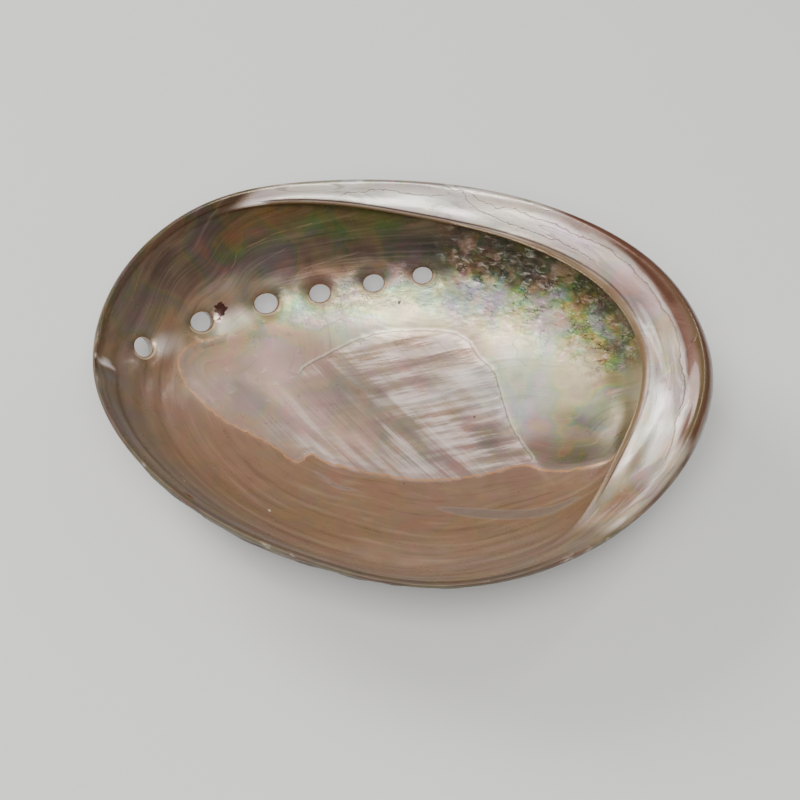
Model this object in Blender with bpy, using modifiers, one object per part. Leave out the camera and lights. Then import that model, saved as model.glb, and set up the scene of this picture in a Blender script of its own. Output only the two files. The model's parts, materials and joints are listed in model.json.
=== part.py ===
"""Abalone shell, lying on its back with the mouth up: one solid.

+X runs along the shell's length to the spire end, +Y to the side of the shelf and the
row of breathing holes, +Z up. The origin is under the middle of the outline, on the
surface that the shell rests on. Every size below is in millimetres.
"""

import math

import bmesh
import bpy
import numpy as np
from mathutils import Matrix, Vector

MM = 0.001

# The shell is drawn at sixteen stations, evenly spaced round the mouth from +X towards
# +Y. Each line of the table is one station, with these sizes:
#   rim_out    from the middle of the mouth to the crest of the rim
#   rim_up     height of the crest
#   ledge      how far the inner edge of the shelf (or of the lip) stands inside the crest
#   ledge_up   height of that inner edge
#   shelf      1 where the shelf is full, 0 where there is only the lip
#   recess     how far the wall is hollowed out under the shelf
#   foot_out   distance of the bend between the wall and the floor
#   foot_up    height of that bend
#   belly      how far the outside swells past the rim (negative where it falls away)
#   roll       1 where the rim is a thick round roll, 0 where it is a thin edge
STATIONS = np.array([
    (69.5, 36.5, 14.7, 30.5, 1.00, 6.0, 53.0, 10.5,  1.3, 1.0),
    (65.4, 36.9, 11.8, 30.5, 1.00, 5.5, 50.0, 11.0,  1.2, 0.8),
    (56.6, 37.0,  9.4, 31.0, 1.00, 4.5, 42.0, 11.0,  0.6, 0.3),
    (51.0, 36.6,  7.7, 31.0, 1.00, 4.0, 37.0, 10.8,  0.3, 0.0),
    (50.1, 36.0,  6.3, 31.2, 1.00, 3.6, 34.6, 11.0,  0.2, 0.0),
    (54.7, 35.0,  4.5, 31.8, 0.95, 1.8, 38.0, 11.8,  0.2, 0.0),
    (64.4, 34.0,  3.0, 31.4, 0.25, 0.0, 45.5, 13.5,  0.0, 0.0),
    (70.6, 33.2,  3.6, 29.0, 0.00, 0.0, 55.0, 16.5, -0.3, 0.0),
    (69.9, 32.5,  4.9, 26.5, 0.00, 0.0, 54.5, 17.0, -0.7, 0.0),
    (61.0, 32.7,  5.2, 25.5, 0.00, 0.0, 44.0, 14.0, -1.4, 0.0),
    (53.2, 33.0,  5.6, 24.0, 0.00, 0.0, 36.0, 12.0, -1.9, 0.0),
    (49.6, 33.2,  6.4, 23.0, 0.00, 0.0, 31.0, 11.0, -2.2, 0.0),
    (50.7, 33.5,  8.2, 22.0, 0.00, 0.0, 30.0, 10.5, -2.4, 0.0),
    (54.1, 34.0,  9.4, 22.0, 0.00, 0.0, 33.0, 10.5, -2.0, 0.0),
    (58.8, 34.6, 10.6, 23.0, 0.25, 0.3, 38.5, 10.5, -0.9, 0.3),
    (65.2, 35.4, 14.8, 27.0, 0.90, 4.2, 47.0, 10.0, -0.2, 0.8),
])
STATION_COUNT = len(STATIONS)
FOOT_RING = 4            # the ring of the bend between floor and wall
BACK_RING = 14           # the first ring on the outside

FLOOR_UP = 4.6           # top of the floor at the deepest point of the bowl
FLOOR_WALL = 3.9         # thickness of the floor there
SIDE_WALL = 3.4          # thickness of the sides
LIP_STEP = 2.4           # from the crest to the shoulder inside it
UNDERSIDE_AT = (5.0, 3.0)    # plan position of the lowest point of the back
SPIRE_AT = (50.0, -8.0)  # plan position of the spire, a low knob on the back
SPIRE_DROP = 3.0         # how far the knob stands out
SPIRE_SPREAD = 13.0      # its radius

# Each breathing hole's centre is a point of the inner surface, on the keel.
HOLES = (
    (-60.6, 12.9, 21.4),
    (-47.9, 22.6, 16.0),
    (-32.9, 29.3, 12.9),
    (-20.1, 32.8, 11.6),
    (-7.0, 35.4, 12.1),
    (5.0, 36.9, 13.3),
)
HOLE_LENGTH = (5.3, 5.9, 6.0, 5.3, 5.2, 4.9)   # along the row
HOLE_WIDTH = (4.9, 4.8, 4.9, 4.5, 4.3, 4.1)    # across the row
HOLE_TILT = math.radians(60.0)   # slope of a hole's axis above the horizontal
CUTTER_REACH = 14.0              # half the length of a hole's cutter
HOLE_SIDES = 20

GRIND = 0.16             # height ground off the back, so that the shell stands still
SUBDIVISIONS = 2
KEPT_TRIANGLES = 0.62    # share of the triangles that the solid keeps


def clear_scene():
    """Remove every object, so that the script can be run again."""
    for thing in list(bpy.data.objects):
        bpy.data.objects.remove(thing, do_unlink=True)


def new_collection(name):
    """Return a fresh collection in the scene."""
    collection = bpy.data.collections.new(name)
    bpy.context.scene.collection.children.link(collection)
    return collection


def shell_material():
    """Polished nacre: a pale pinkish grey with a soft gloss."""
    material = bpy.data.materials.new("polished_nacre")
    material.use_nodes = True
    shader = material.node_tree.nodes["Principled BSDF"]
    shader.inputs["Base Color"].default_value = (0.46, 0.38, 0.34, 1.0)
    shader.inputs["Roughness"].default_value = 0.28
    shader.inputs["Metallic"].default_value = 0.0
    return material


def section_rows():
    """Return the rings of the shell, from the middle of the floor, up the inside, over
    the rim and down the back, each as an array of (out, up) for every station."""
    rim, rim_up, ledge, nose_up, shelf, recess, foot, foot_up, belly, roll = STATIONS.T
    nose = rim - ledge
    lip = 1.0 - shelf
    wall_out = nose + recess
    wall_up = nose_up - 6.5 * shelf - 1.5 * lip
    wall_in_plan = wall_out - foot
    wall_in_height = wall_up - foot_up
    side = np.maximum(wall_out + SIDE_WALL, foot + 0.75 * wall_in_plan + SIDE_WALL + 1.0)

    rows = []

    def ring(out, up):
        rows.append(np.stack([out + 0.0 * rim, up + 0.0 * rim], axis=-1))

    ring(0.0, FLOOR_UP)
    for share, climb in ((0.22, 0.04), (0.50, 0.19), (0.78, 0.52)):
        ring(foot * share, FLOOR_UP + (foot_up - FLOOR_UP) * climb)
    ring(foot, foot_up)
    ring(foot + wall_in_plan * 0.5, foot_up + wall_in_height * (0.40 + 0.02 * shelf))
    ring(wall_out, wall_up)

    # From here a shelf station goes round the shelf's inner edge, and a lip station
    # goes straight up the wall to the shoulder of the rim.
    wall = np.stack([wall_out, wall_up], axis=-1)
    under_edge = np.stack([nose + 1.1, nose_up - 2.4], axis=-1)
    edge = np.stack([nose - 1.1, nose_up - 0.2], axis=-1)
    over_edge = np.stack([nose + 1.7, nose_up + 1.4], axis=-1)
    shoulder = np.stack([rim - LIP_STEP - 1.4 * roll, rim_up - 1.2 - 0.3 * lip], axis=-1)
    middle = over_edge + (shoulder - over_edge) * np.array([0.50, 0.62])
    for on_shelf, share in ((under_edge, 0.25), (edge, 0.45), (over_edge, 0.65), (middle, 0.83)):
        on_lip = wall + (shoulder - wall) * share
        rows.append(on_shelf * shelf[:, None] + on_lip * lip[:, None])
    rows.append(shoulder)

    ring(rim - 1.2 - 0.6 * roll, rim_up + 0.6)
    ring(rim + 0.5 + 0.3 * roll, rim_up - 0.4 - 1.2 * roll)
    ring(rim + 0.2 + belly, rim_up - 7.5 - 0.5 * belly)
    ring(side + 0.6 * belly, foot_up + wall_in_height * 0.50)
    ring(foot + 3.4 + 0.3 * belly, foot_up - 3.0)
    for share, climb in ((0.80, 0.40), (0.50, 0.11), (0.22, 0.0)):
        ring(foot * share + share, FLOOR_UP - FLOOR_WALL + (foot_up - FLOOR_UP) * climb)
    ring(0.0, FLOOR_UP - FLOOR_WALL)
    return np.array(rows)


def smooth_through(points):
    """Move the points of each ring outwards, so that the smooth surface, which passes
    inside a bend of its cage, passes through the stations."""
    eye = np.eye(STATION_COUNT)
    smoothing = (4.0 * eye + np.roll(eye, 1, axis=0) + np.roll(eye, -1, axis=0)) / 6.0
    return np.einsum("ab,rbc->rac", np.linalg.inv(smoothing), points)


def cage_points():
    """Return the cage, an array of rings by stations by (x, y, z)."""
    rows = section_rows()
    turn = np.arange(STATION_COUNT) * (2.0 * math.pi / STATION_COUNT)
    out, up = rows[..., 0], rows[..., 1]
    points = np.stack([out * np.cos(turn), out * np.sin(turn), up], axis=-1)
    points = smooth_through(points)

    # The rings near each pole are centred over the lowest point of the back.
    foot = points[FOOT_RING, :, :2]
    reach = np.linalg.norm(points[..., :2], axis=-1) / np.linalg.norm(foot, axis=-1)
    shift = np.clip(1.0 - reach, 0.0, 1.0)[..., None] * np.array(UNDERSIDE_AT)
    points[..., :2] += shift

    # The spire pushes the back out.
    back = points[BACK_RING:]
    from_spire = np.linalg.norm(back[..., :2] - np.array(SPIRE_AT), axis=-1)
    back[..., 2] -= SPIRE_DROP * np.exp(-(from_spire / SPIRE_SPREAD) ** 2)
    return points


def make_shell(collection, material):
    """A ball whose rings are moved onto the cage, then smoothed."""
    points = cage_points()
    last_ring = len(points) - 1
    mesh = bpy.data.meshes.new("abalone_shell")
    ball = bmesh.new()
    bmesh.ops.create_uvsphere(ball, u_segments=STATION_COUNT, v_segments=last_ring, radius=1.0)
    for vertex in ball.verts:
        x, y, z = vertex.co
        ring = round(math.acos(max(-1.0, min(1.0, z))) / math.pi * last_ring)
        station = round(math.atan2(y, x) / (2.0 * math.pi) * STATION_COUNT) % STATION_COUNT
        vertex.co = Vector(points[ring, station]) * MM
    ball.to_mesh(mesh)
    ball.free()
    mesh.materials.append(material)
    mesh.shade_smooth()
    shell = bpy.data.objects.new("abalone_shell", mesh)
    collection.objects.link(shell)

    smooth = shell.modifiers.new("smooth", "SUBSURF")
    smooth.levels = SUBDIVISIONS
    smooth.render_levels = SUBDIVISIONS
    thin_out = shell.modifiers.new("thin_out", "DECIMATE")
    thin_out.ratio = KEPT_TRIANGLES
    return shell


def box_of(thing):
    """Return the lowest and the highest corner of an object's finished mesh, in metres."""
    seen = thing.evaluated_get(bpy.context.evaluated_depsgraph_get())
    mesh = seen.to_mesh()
    places = np.array([thing.matrix_world @ vertex.co for vertex in mesh.vertices])
    seen.to_mesh_clear()
    return places.min(axis=0), places.max(axis=0)


def hole_cutter(number, collection):
    """An oval rod through the wall, its long side along the row of holes."""
    centre = Vector(HOLES[number])
    before = Vector(HOLES[max(number - 1, 0)])
    after = Vector(HOLES[min(number + 1, len(HOLES) - 1)])
    along = (after - before).normalized()
    inward = Vector((along.y, -along.x, 0.0)).normalized()
    axis = inward * math.cos(HOLE_TILT) + Vector((0.0, 0.0, math.sin(HOLE_TILT)))
    across = axis.cross(along).normalized()
    axis = along.cross(across).normalized()

    bpy.ops.mesh.primitive_cylinder_add(
        vertices=HOLE_SIDES, radius=0.5 * MM, depth=2.0 * CUTTER_REACH * MM)
    cutter = bpy.context.object
    cutter.name = f"hole_cutter_{number + 1}"
    stretch = Matrix.Diagonal((HOLE_LENGTH[number], HOLE_WIDTH[number], 1.0, 1.0))
    turned = Matrix((along, across, axis)).transposed().to_4x4()
    cutter.data.transform(Matrix.Translation(centre * MM) @ turned @ stretch)
    move_to(cutter, collection)
    return cutter


def grinder(lowest, collection):
    """A slab under the shell, which reaches GRIND into its back."""
    bpy.ops.mesh.primitive_cube_add(size=1.0)
    slab = bpy.context.object
    slab.name = "grinding_slab"
    thickness = 10.0 * MM
    size = Matrix.Diagonal((0.2, 0.2, thickness, 1.0))
    place = Matrix.Translation((0.0, 0.0, lowest + GRIND * MM - thickness / 2.0))
    slab.data.transform(place @ size)
    move_to(slab, collection)
    return slab


def move_to(thing, collection):
    """Put a cutter in its own collection, shown as a wire only."""
    for holder in list(thing.users_collection):
        holder.objects.unlink(thing)
    collection.objects.link(thing)
    thing.display_type = "WIRE"
    thing.hide_render = True


def cut(shell, cutter):
    """Take the cutter out of the shell."""
    boolean = shell.modifiers.new(cutter.name, "BOOLEAN")
    boolean.operation = "DIFFERENCE"
    boolean.solver = "EXACT"
    boolean.object = cutter


def main():
    clear_scene()
    parts = new_collection("abalone_shell_parts")
    cutters = new_collection("abalone_shell_cutters")
    shell = make_shell(parts, shell_material())
    low, high = box_of(shell)

    tools = [hole_cutter(number, cutters) for number in range(len(HOLES))]
    tools.append(grinder(low[2], cutters))
    for tool in tools:
        cut(shell, tool)

    # Slide everything so that the origin is under the middle of the outline.
    middle = (low + high) / 2.0
    home = Matrix.Translation((-middle[0], -middle[1], -low[2] - GRIND * MM))
    for thing in [shell] + tools:
        thing.data.transform(home)


main()
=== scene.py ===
# %% [markdown]
# # An abalone shell, mouth up
#
# An abalone is a sea snail with an ear-shaped shell: a shallow bowl with a low spire at
# one end, a shelf along one side of the mouth and a row of breathing holes that curves
# along the other side of the wall. Inside it is nacre, mother of pearl. This lesson
# builds the shell as one smooth surface, carves the fine relief into it, cuts the holes
# and then paints the nacre. The fixed frame is loaded first, because it says how large
# the shell is and where it lies.

# %% Load the fixed frame
import json
import math

import bpy
import numpy as np
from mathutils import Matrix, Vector

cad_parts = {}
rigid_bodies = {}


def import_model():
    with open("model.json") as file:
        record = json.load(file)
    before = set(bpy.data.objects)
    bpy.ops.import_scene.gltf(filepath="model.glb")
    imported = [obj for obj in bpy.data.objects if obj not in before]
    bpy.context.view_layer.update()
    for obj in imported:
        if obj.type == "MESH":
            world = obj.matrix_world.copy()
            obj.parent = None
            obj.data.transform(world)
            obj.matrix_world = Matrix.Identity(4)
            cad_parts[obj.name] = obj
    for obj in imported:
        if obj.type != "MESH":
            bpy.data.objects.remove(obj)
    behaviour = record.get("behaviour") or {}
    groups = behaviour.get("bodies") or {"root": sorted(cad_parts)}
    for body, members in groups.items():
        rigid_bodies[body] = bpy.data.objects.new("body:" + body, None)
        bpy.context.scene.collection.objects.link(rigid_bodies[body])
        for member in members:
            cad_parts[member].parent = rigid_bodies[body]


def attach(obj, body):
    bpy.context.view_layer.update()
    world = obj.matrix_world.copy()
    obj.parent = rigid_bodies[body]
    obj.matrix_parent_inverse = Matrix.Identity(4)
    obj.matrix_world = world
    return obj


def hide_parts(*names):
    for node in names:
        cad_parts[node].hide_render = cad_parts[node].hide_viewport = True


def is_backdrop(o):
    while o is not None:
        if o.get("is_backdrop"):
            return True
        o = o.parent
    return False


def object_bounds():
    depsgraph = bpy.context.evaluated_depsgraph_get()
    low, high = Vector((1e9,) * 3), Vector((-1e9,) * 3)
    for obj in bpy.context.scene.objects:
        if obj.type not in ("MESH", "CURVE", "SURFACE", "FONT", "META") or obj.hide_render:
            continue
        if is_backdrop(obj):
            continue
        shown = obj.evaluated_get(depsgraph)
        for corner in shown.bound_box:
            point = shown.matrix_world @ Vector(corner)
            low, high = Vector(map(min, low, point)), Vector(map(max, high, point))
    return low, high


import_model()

NODE = "abalone_shell"
MM = 0.001
cad_low, cad_high = (np.array(corner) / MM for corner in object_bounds())
print("the shell fills", (cad_high - cad_low).round(1), "mm")

# %% [markdown]
# ## The outline, station by station
#
# A boat builder describes a hull by stations, cross sections at even steps, and lets a
# flexible batten draw the smooth lines between them. A shell can be described the same
# way. The alternative, a mathematical spiral, gives a perfect shell that matches no real
# one. Here there are sixteen stations round the mouth, every 22.5 degrees from the spire
# end. The sizes are in millimetres.

# %% The stations
# Columns: the crest of the rim (out, up), how far the shelf's inner edge stands inside
# it, the height of that edge, how much shelf there is, how far the wall is hollowed under
# it, the bend between wall and floor (out, up), the swell outside, the roll of the rim.
STATIONS = np.array([
    (69.5, 36.5, 14.7, 30.5, 1.00, 6.0, 53.0, 10.5,  1.3, 1.0),
    (65.4, 36.9, 11.8, 30.5, 1.00, 5.5, 50.0, 11.0,  1.2, 0.8),
    (56.6, 37.0,  9.4, 31.0, 1.00, 4.5, 42.0, 11.0,  0.6, 0.3),
    (51.0, 36.6,  7.7, 31.0, 1.00, 4.0, 37.0, 10.8,  0.3, 0.0),
    (50.1, 36.0,  6.3, 31.2, 1.00, 3.6, 34.6, 11.0,  0.2, 0.0),
    (54.7, 35.0,  4.5, 31.8, 0.95, 1.8, 38.0, 11.8,  0.2, 0.0),
    (64.4, 34.0,  3.0, 31.4, 0.25, 0.0, 45.5, 13.5,  0.0, 0.0),
    (70.6, 33.2,  3.6, 29.0, 0.00, 0.0, 55.0, 16.5, -0.3, 0.0),
    (69.9, 32.5,  4.9, 26.5, 0.00, 0.0, 54.5, 17.0, -0.7, 0.0),
    (61.0, 32.7,  5.2, 25.5, 0.00, 0.0, 44.0, 14.0, -1.4, 0.0),
    (53.2, 33.0,  5.6, 24.0, 0.00, 0.0, 36.0, 12.0, -1.9, 0.0),
    (49.6, 33.2,  6.4, 23.0, 0.00, 0.0, 31.0, 11.0, -2.2, 0.0),
    (50.7, 33.5,  8.2, 22.0, 0.00, 0.0, 30.0, 10.5, -2.4, 0.0),
    (54.1, 34.0,  9.4, 22.0, 0.00, 0.0, 33.0, 10.5, -2.0, 0.0),
    (58.8, 34.6, 10.6, 23.0, 0.25, 0.3, 38.5, 10.5, -0.9, 0.3),
    (65.2, 35.4, 14.8, 27.0, 0.90, 4.2, 47.0, 10.0, -0.2, 0.8),
])
STATION_COUNT = len(STATIONS)
FLOOR_UP, FLOOR_WALL, SIDE_WALL, LIP_STEP = 4.6, 3.9, 3.4, 2.4
UNDERSIDE_AT = (5.0, 3.0)
SPIRE_AT, SPIRE_DROP, SPIRE_SPREAD = (50.0, -8.0), 3.0, 13.0
FOOT_RING, EDGE_RING, CREST_RING, BACK_RING = 4, 8, 12, 14
print(STATION_COUNT, "stations")


# %% [markdown]
# ## Rings of the cage
#
# Each station gives one cross section: from the middle of the floor, up the inside wall,
# round the shelf, over the rim and down the back to the middle of the underside. Points
# of equal number in all sixteen sections make one ring. The rings are the cage of a
# smooth surface.

# %% The cage
def section_rings():
    """Each ring as (out, up) at every station: shares of the floor up to the bend, then
    the wall, the shelf or lip, the crest of the rim, and the back a wall's thickness out."""
    rim, rim_up, ledge, nose_up, shelf, recess, foot, foot_up, belly, roll = STATIONS.T
    nose, lip = rim - ledge, 1.0 - shelf
    wall_out, wall_up = nose + recess, nose_up - 6.5 * shelf - 1.5 * lip
    plan, rise = wall_out - foot, wall_up - foot_up
    side = np.maximum(wall_out + SIDE_WALL, foot + 0.75 * plan + SIDE_WALL + 1.0)
    rings = []

    def ring(out, up):
        rings.append(np.stack([out + 0.0 * rim, up + 0.0 * rim], axis=-1))

    ring(0.0, FLOOR_UP)
    for share, climb in ((0.22, 0.04), (0.50, 0.19), (0.78, 0.52)):
        ring(foot * share, FLOOR_UP + (foot_up - FLOOR_UP) * climb)
    ring(foot, foot_up)
    ring(foot + plan * 0.5, foot_up + rise * (0.40 + 0.02 * shelf))
    ring(wall_out, wall_up)
    wall = np.stack([wall_out, wall_up], axis=-1)
    over_edge = np.stack([nose + 1.7, nose_up + 1.4], axis=-1)
    shoulder = np.stack([rim - LIP_STEP - 1.4 * roll, rim_up - 1.2 - 0.3 * lip], axis=-1)
    on_shelf = (
        np.stack([nose + 1.1, nose_up - 2.4], axis=-1),
        np.stack([nose - 1.1, nose_up - 0.2], axis=-1),
        over_edge,
        over_edge + (shoulder - over_edge) * np.array([0.50, 0.62]),
    )
    for place, share in zip(on_shelf, (0.25, 0.45, 0.65, 0.83)):
        on_lip = wall + (shoulder - wall) * share
        rings.append(place * shelf[:, None] + on_lip * lip[:, None])
    rings.append(shoulder)
    ring(rim - 1.2 - 0.6 * roll, rim_up + 0.6)
    ring(rim + 0.5 + 0.3 * roll, rim_up - 0.4 - 1.2 * roll)
    ring(rim + 0.2 + belly, rim_up - 7.5 - 0.5 * belly)
    ring(side + 0.6 * belly, foot_up + rise * 0.50)
    ring(foot + 3.4 + 0.3 * belly, foot_up - 3.0)
    for share, climb in ((0.80, 0.40), (0.50, 0.11), (0.22, 0.0)):
        ring(foot * share + share, FLOOR_UP - FLOOR_WALL + (foot_up - FLOOR_UP) * climb)
    ring(0.0, FLOOR_UP - FLOOR_WALL)
    return np.array(rings)


def cage_points():
    """The rings turned into (x, y, z), then pushed out by the inverse of the smoothing
    (1, 4, 1) / 6, so that the smooth surface passes through the stations again."""
    rings = section_rings()
    turn = np.arange(STATION_COUNT) * (2.0 * math.pi / STATION_COUNT)
    out, up = rings[..., 0], rings[..., 1]
    points = np.stack([out * np.cos(turn), out * np.sin(turn), up], axis=-1)
    eye = np.eye(STATION_COUNT)
    smoothing = (4.0 * eye + np.roll(eye, 1, axis=0) + np.roll(eye, -1, axis=0)) / 6.0
    points = np.einsum("ab,rbc->rac", np.linalg.inv(smoothing), points)
    foot = np.linalg.norm(points[FOOT_RING, :, :2], axis=-1)
    reach = np.linalg.norm(points[..., :2], axis=-1) / foot
    points[..., :2] += np.clip(1.0 - reach, 0.0, 1.0)[..., None] * np.array(UNDERSIDE_AT)
    back = points[BACK_RING:]
    from_spire = np.linalg.norm(back[..., :2] - np.array(SPIRE_AT), axis=-1)
    back[..., 2] -= SPIRE_DROP * np.exp(-(from_spire / SPIRE_SPREAD) ** 2)
    return points


CAGE = cage_points()
LAST_RING = len(CAGE) - 1
print("a cage of", len(CAGE), "rings by", STATION_COUNT, "stations")


# %% [markdown]
# ## The smooth surface
#
# A cubic B-spline is the batten: at every place it blends the four nearest rings and the
# four nearest stations. Subdivision Surface would give the same shape, but the formula
# can be asked for a point anywhere, so the grid can be made as fine as the relief needs.

# %% The surface as a function of two parameters
def blend_weights(share):
    """The four weights of a uniform cubic B-spline at a share of the way between knots."""
    return np.stack([
        (1.0 - share) ** 3,
        3.0 * share**3 - 6.0 * share**2 + 4.0,
        -3.0 * share**3 + 3.0 * share**2 + 3.0 * share + 1.0,
        share**3,
    ], axis=-1) / 6.0


def surface(turns, rings):
    """Points at every pair of ring place and turn: the weighted sum of four by four cage
    points. Past a pole the cage goes on with the rings of the opposite side."""
    opposite = np.roll(CAGE, STATION_COUNT // 2, axis=1)
    cage = np.concatenate([opposite[1:2], CAGE, opposite[-2:-1]])
    ring = np.minimum(np.floor(rings).astype(int), LAST_RING - 1)
    station = np.floor(turns).astype(int)
    ring_weights = blend_weights(rings - ring)
    station_weights = blend_weights(turns - station)
    points = 0.0
    for i in range(4):
        for j in range(4):
            corner = cage[(ring + i)[:, None], ((station + j - 1) % STATION_COUNT)[None, :]]
            weight = ring_weights[:, None, i, None] * station_weights[None, :, j, None]
            points = points + weight * corner
    return points


AROUND = 448
STEPS_PER_ROOT_MM = 2.9
rough = surface(np.arange(STATION_COUNT) + 0.0, np.arange(LAST_RING + 1) + 0.0)
span = np.linalg.norm(np.diff(rough, axis=0), axis=-1).mean(axis=1)
steps = np.ceil(STEPS_PER_ROOT_MM * np.sqrt(span)).astype(int)
RINGS = np.concatenate([np.arange(n) / n + k for k, n in enumerate(steps)] + [[LAST_RING]])
TURNS = np.arange(AROUND) * STATION_COUNT / AROUND
base = surface(TURNS, RINGS)

design_low = base.reshape(-1, 3).min(axis=0)
design_high = base.reshape(-1, 3).max(axis=0)
shift = (cad_low + cad_high - design_low - design_high) / 2.0
shift[2] = cad_high[2] - design_high[2]
base += shift
print("grid", base.shape[:2], "moved by", shift.round(2), "mm")


# %% [markdown]
# ## Measures on the surface
#
# Relief and colour both follow the way the animal grew. New shell is laid down along the
# rim, so the distance from the rim, measured over the surface, is the natural ruler on
# the lip and the shelf. Seen from the spire, every older rim is a smaller copy of the
# present one, so the share of the way from spire to rim is the ruler on the back.

# %% Normals, distance from the rim, growth
def normals_of(points):
    """Unit normals of a closed ring grid: the cross product of the step to the next ring
    and the step round the ring. A pole takes the mean of its neighbours."""
    outwards = np.gradient(points, axis=0)
    round_about = np.roll(points, -1, axis=1) - np.roll(points, 1, axis=1)
    normal = np.cross(outwards, round_about)
    normal /= np.maximum(np.linalg.norm(normal, axis=-1, keepdims=True), 1e-9)
    for pole, beside in ((0, 1), (-1, -2)):
        middle = normal[beside].mean(axis=0)
        normal[pole] = middle / np.linalg.norm(middle)
    return normal


def distance_from_rim(points):
    """Length along each section from the crest of the rim, more than 0 inside."""
    step = np.linalg.norm(np.diff(points, axis=0), axis=-1)
    length = np.concatenate([np.zeros((1, AROUND)), np.cumsum(step, axis=0)])
    crest = np.searchsorted(RINGS, CREST_RING)
    return length[crest] - length


SPIRE = np.array(SPIRE_AT) + shift[:2]
crest_row = base[np.searchsorted(RINGS, CREST_RING)]


def growth_share(x, y):
    """Distance from the spire as a share of the distance to the rim in that direction."""
    rim_x, rim_y = crest_row[:, 0] - SPIRE[0], crest_row[:, 1] - SPIRE[1]
    rim_turn = np.arctan2(rim_y, rim_x)
    order = np.argsort(rim_turn)
    turn = np.arctan2(y - SPIRE[1], x - SPIRE[0])
    rim_reach = np.interp(
        turn, rim_turn[order], np.hypot(rim_x, rim_y)[order], period=2.0 * math.pi)
    return np.hypot(x - SPIRE[0], y - SPIRE[1]) / rim_reach


normal = normals_of(base)
from_rim = distance_from_rim(base)
growth = growth_share(base[..., 0], base[..., 1])
print("longest way from rim to floor", from_rim.max().round(1), "mm")


# %% Small tools for fields
def ramp(value, start, end):
    """0 before start, 1 after end, and a smooth S between them."""
    share = np.clip((value - start) / (end - start), 0.0, 1.0)
    return share * share * (3.0 - 2.0 * share)


def bell(distance, width):
    """1 at distance 0, falling off as a bell curve of that width."""
    return np.exp(-((distance / width) ** 2))


def random_waves(points, wavelength, seed, count=14, stretch=(1.0, 1.0, 1.0)):
    """A smooth random field of about unit height: the sum of waves in random directions
    whose lengths lie round the wavelength. It stands in for natural unevenness."""
    dice = np.random.default_rng(seed)
    total = np.zeros(points.shape[:-1])
    for _ in range(count):
        direction = dice.normal(size=3)
        direction /= np.linalg.norm(direction)
        length = wavelength * dice.uniform(0.7, 1.5)
        phase = dice.uniform(0.0, 2.0 * math.pi)
        along = points @ (direction * np.array(stretch))
        total += np.cos(2.0 * math.pi * along / length + phase)
    return total * math.sqrt(2.0 / count)


def distance_to_line(x, y, line):
    """Distance in plan to a chain of straight pieces, and which side of it (more than 0
    on the left), taken from the nearest piece."""
    line = np.array(line, float)
    best = np.full(np.shape(x), 1e9)
    side = np.zeros(np.shape(x))
    for (ax, ay), (bx, by) in zip(line[:-1], line[1:]):
        dx, dy = bx - ax, by - ay
        share = np.clip(((x - ax) * dx + (y - ay) * dy) / (dx * dx + dy * dy), 0.0, 1.0)
        gap = np.hypot(x - ax - share * dx, y - ay - share * dy)
        nearer = gap < best
        best = np.where(nearer, gap, best)
        side = np.where(nearer, np.sign(dx * (y - ay) - dy * (x - ax)), side)
    return best, side


def smooth_line(points, steps=6):
    """A chain through the points with corners rounded by a Catmull-Rom curve."""
    points = np.array(points, float)
    ends = np.concatenate([[2 * points[0] - points[1]], points, [2 * points[-1] - points[-2]]])
    t = np.arange(steps)[:, None] / steps
    pieces = [
        0.5 * (2 * b + (c - a) * t + (2 * a - 5 * b + 4 * c - d) * t**2
               + (3 * b - a - 3 * c + d) * t**3)
        for a, b, c, d in zip(ends, ends[1:], ends[2:], ends[3:])
    ]
    return np.concatenate(pieces + [points[-1:]])


# %% [markdown]
# ## Landmarks
#
# The things that every abalone shows inside: the open breathing holes and the older,
# sealed ones that carry on the row towards the spire; the scar of the big muscle that
# held the animal, with a sharp edge; and the line where the silvery nacre of the floor
# ends and the tan of the lip begins. They are placed in plan, in millimetres.

# %% The landmarks
HOLES = np.array([
    (-60.6, 12.9, 21.4),
    (-47.9, 22.6, 16.0),
    (-32.9, 29.3, 12.9),
    (-20.1, 32.8, 11.6),
    (-7.0, 35.4, 12.1),
    (5.0, 36.9, 13.3),
]) + shift
HOLE_LENGTH = np.array([5.3, 5.9, 6.0, 5.3, 5.2, 4.9])
HOLE_WIDTH = np.array([4.9, 4.8, 4.9, 4.5, 4.3, 4.1])
HOLE_TILT = math.radians(60.0)

# Sealed holes: where (x, y), radius, height of the blister over them.
SEALED = ((15.0, 37.2, 3.0, 1.3), (25.0, 35.6, 3.2, 1.5), (35.0, 32.2, 2.8, 1.3),
          (42.5, 27.6, 2.4, 1.0), (48.0, 21.5, 2.0, 0.7))
KEEL = smooth_line([(-72.0, 5.0)] + [tuple(hole[:2]) for hole in HOLES]
                   + [(place[0], place[1]) for place in SEALED] + [(52.0, 12.0), (51.0, 0.0)])

SCAR_EDGE = smooth_line([(-24.0, 14.0), (-17.0, 18.5), (-12.0, 21.5), (-5.0, 24.0), (4.0, 24.5),
                         (12.0, 24.0), (16.5, 21.5), (18.5, 18.0), (22.5, 14.0), (23.5, 10.0),
                         (25.0, 4.0), (26.5, -1.0), (29.0, -6.0), (31.0, -9.5)])
SILVER_EDGE = smooth_line([(-44.0, 19.5), (-50.0, 16.5), (-52.5, 13.0), (-52.5, 9.5), (-51.0, 6.0),
                           (-48.5, 3.5), (-45.0, 0.5), (-40.5, -2.5), (-35.5, -4.5), (-30.5, -7.0),
                           (-25.0, -11.0), (-22.0, -8.5), (-18.0, -10.5), (-12.0, -12.0),
                           (-4.5, -13.5), (3.0, -14.5), (12.5, -14.5), (21.0, -13.0),
                           (28.5, -11.0), (35.0, -13.0), (42.0, -13.0), (48.5, -12.0),
                           (52.5, -8.0)])
print(len(HOLES), "open holes and", len(SEALED), "sealed ones")

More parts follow.
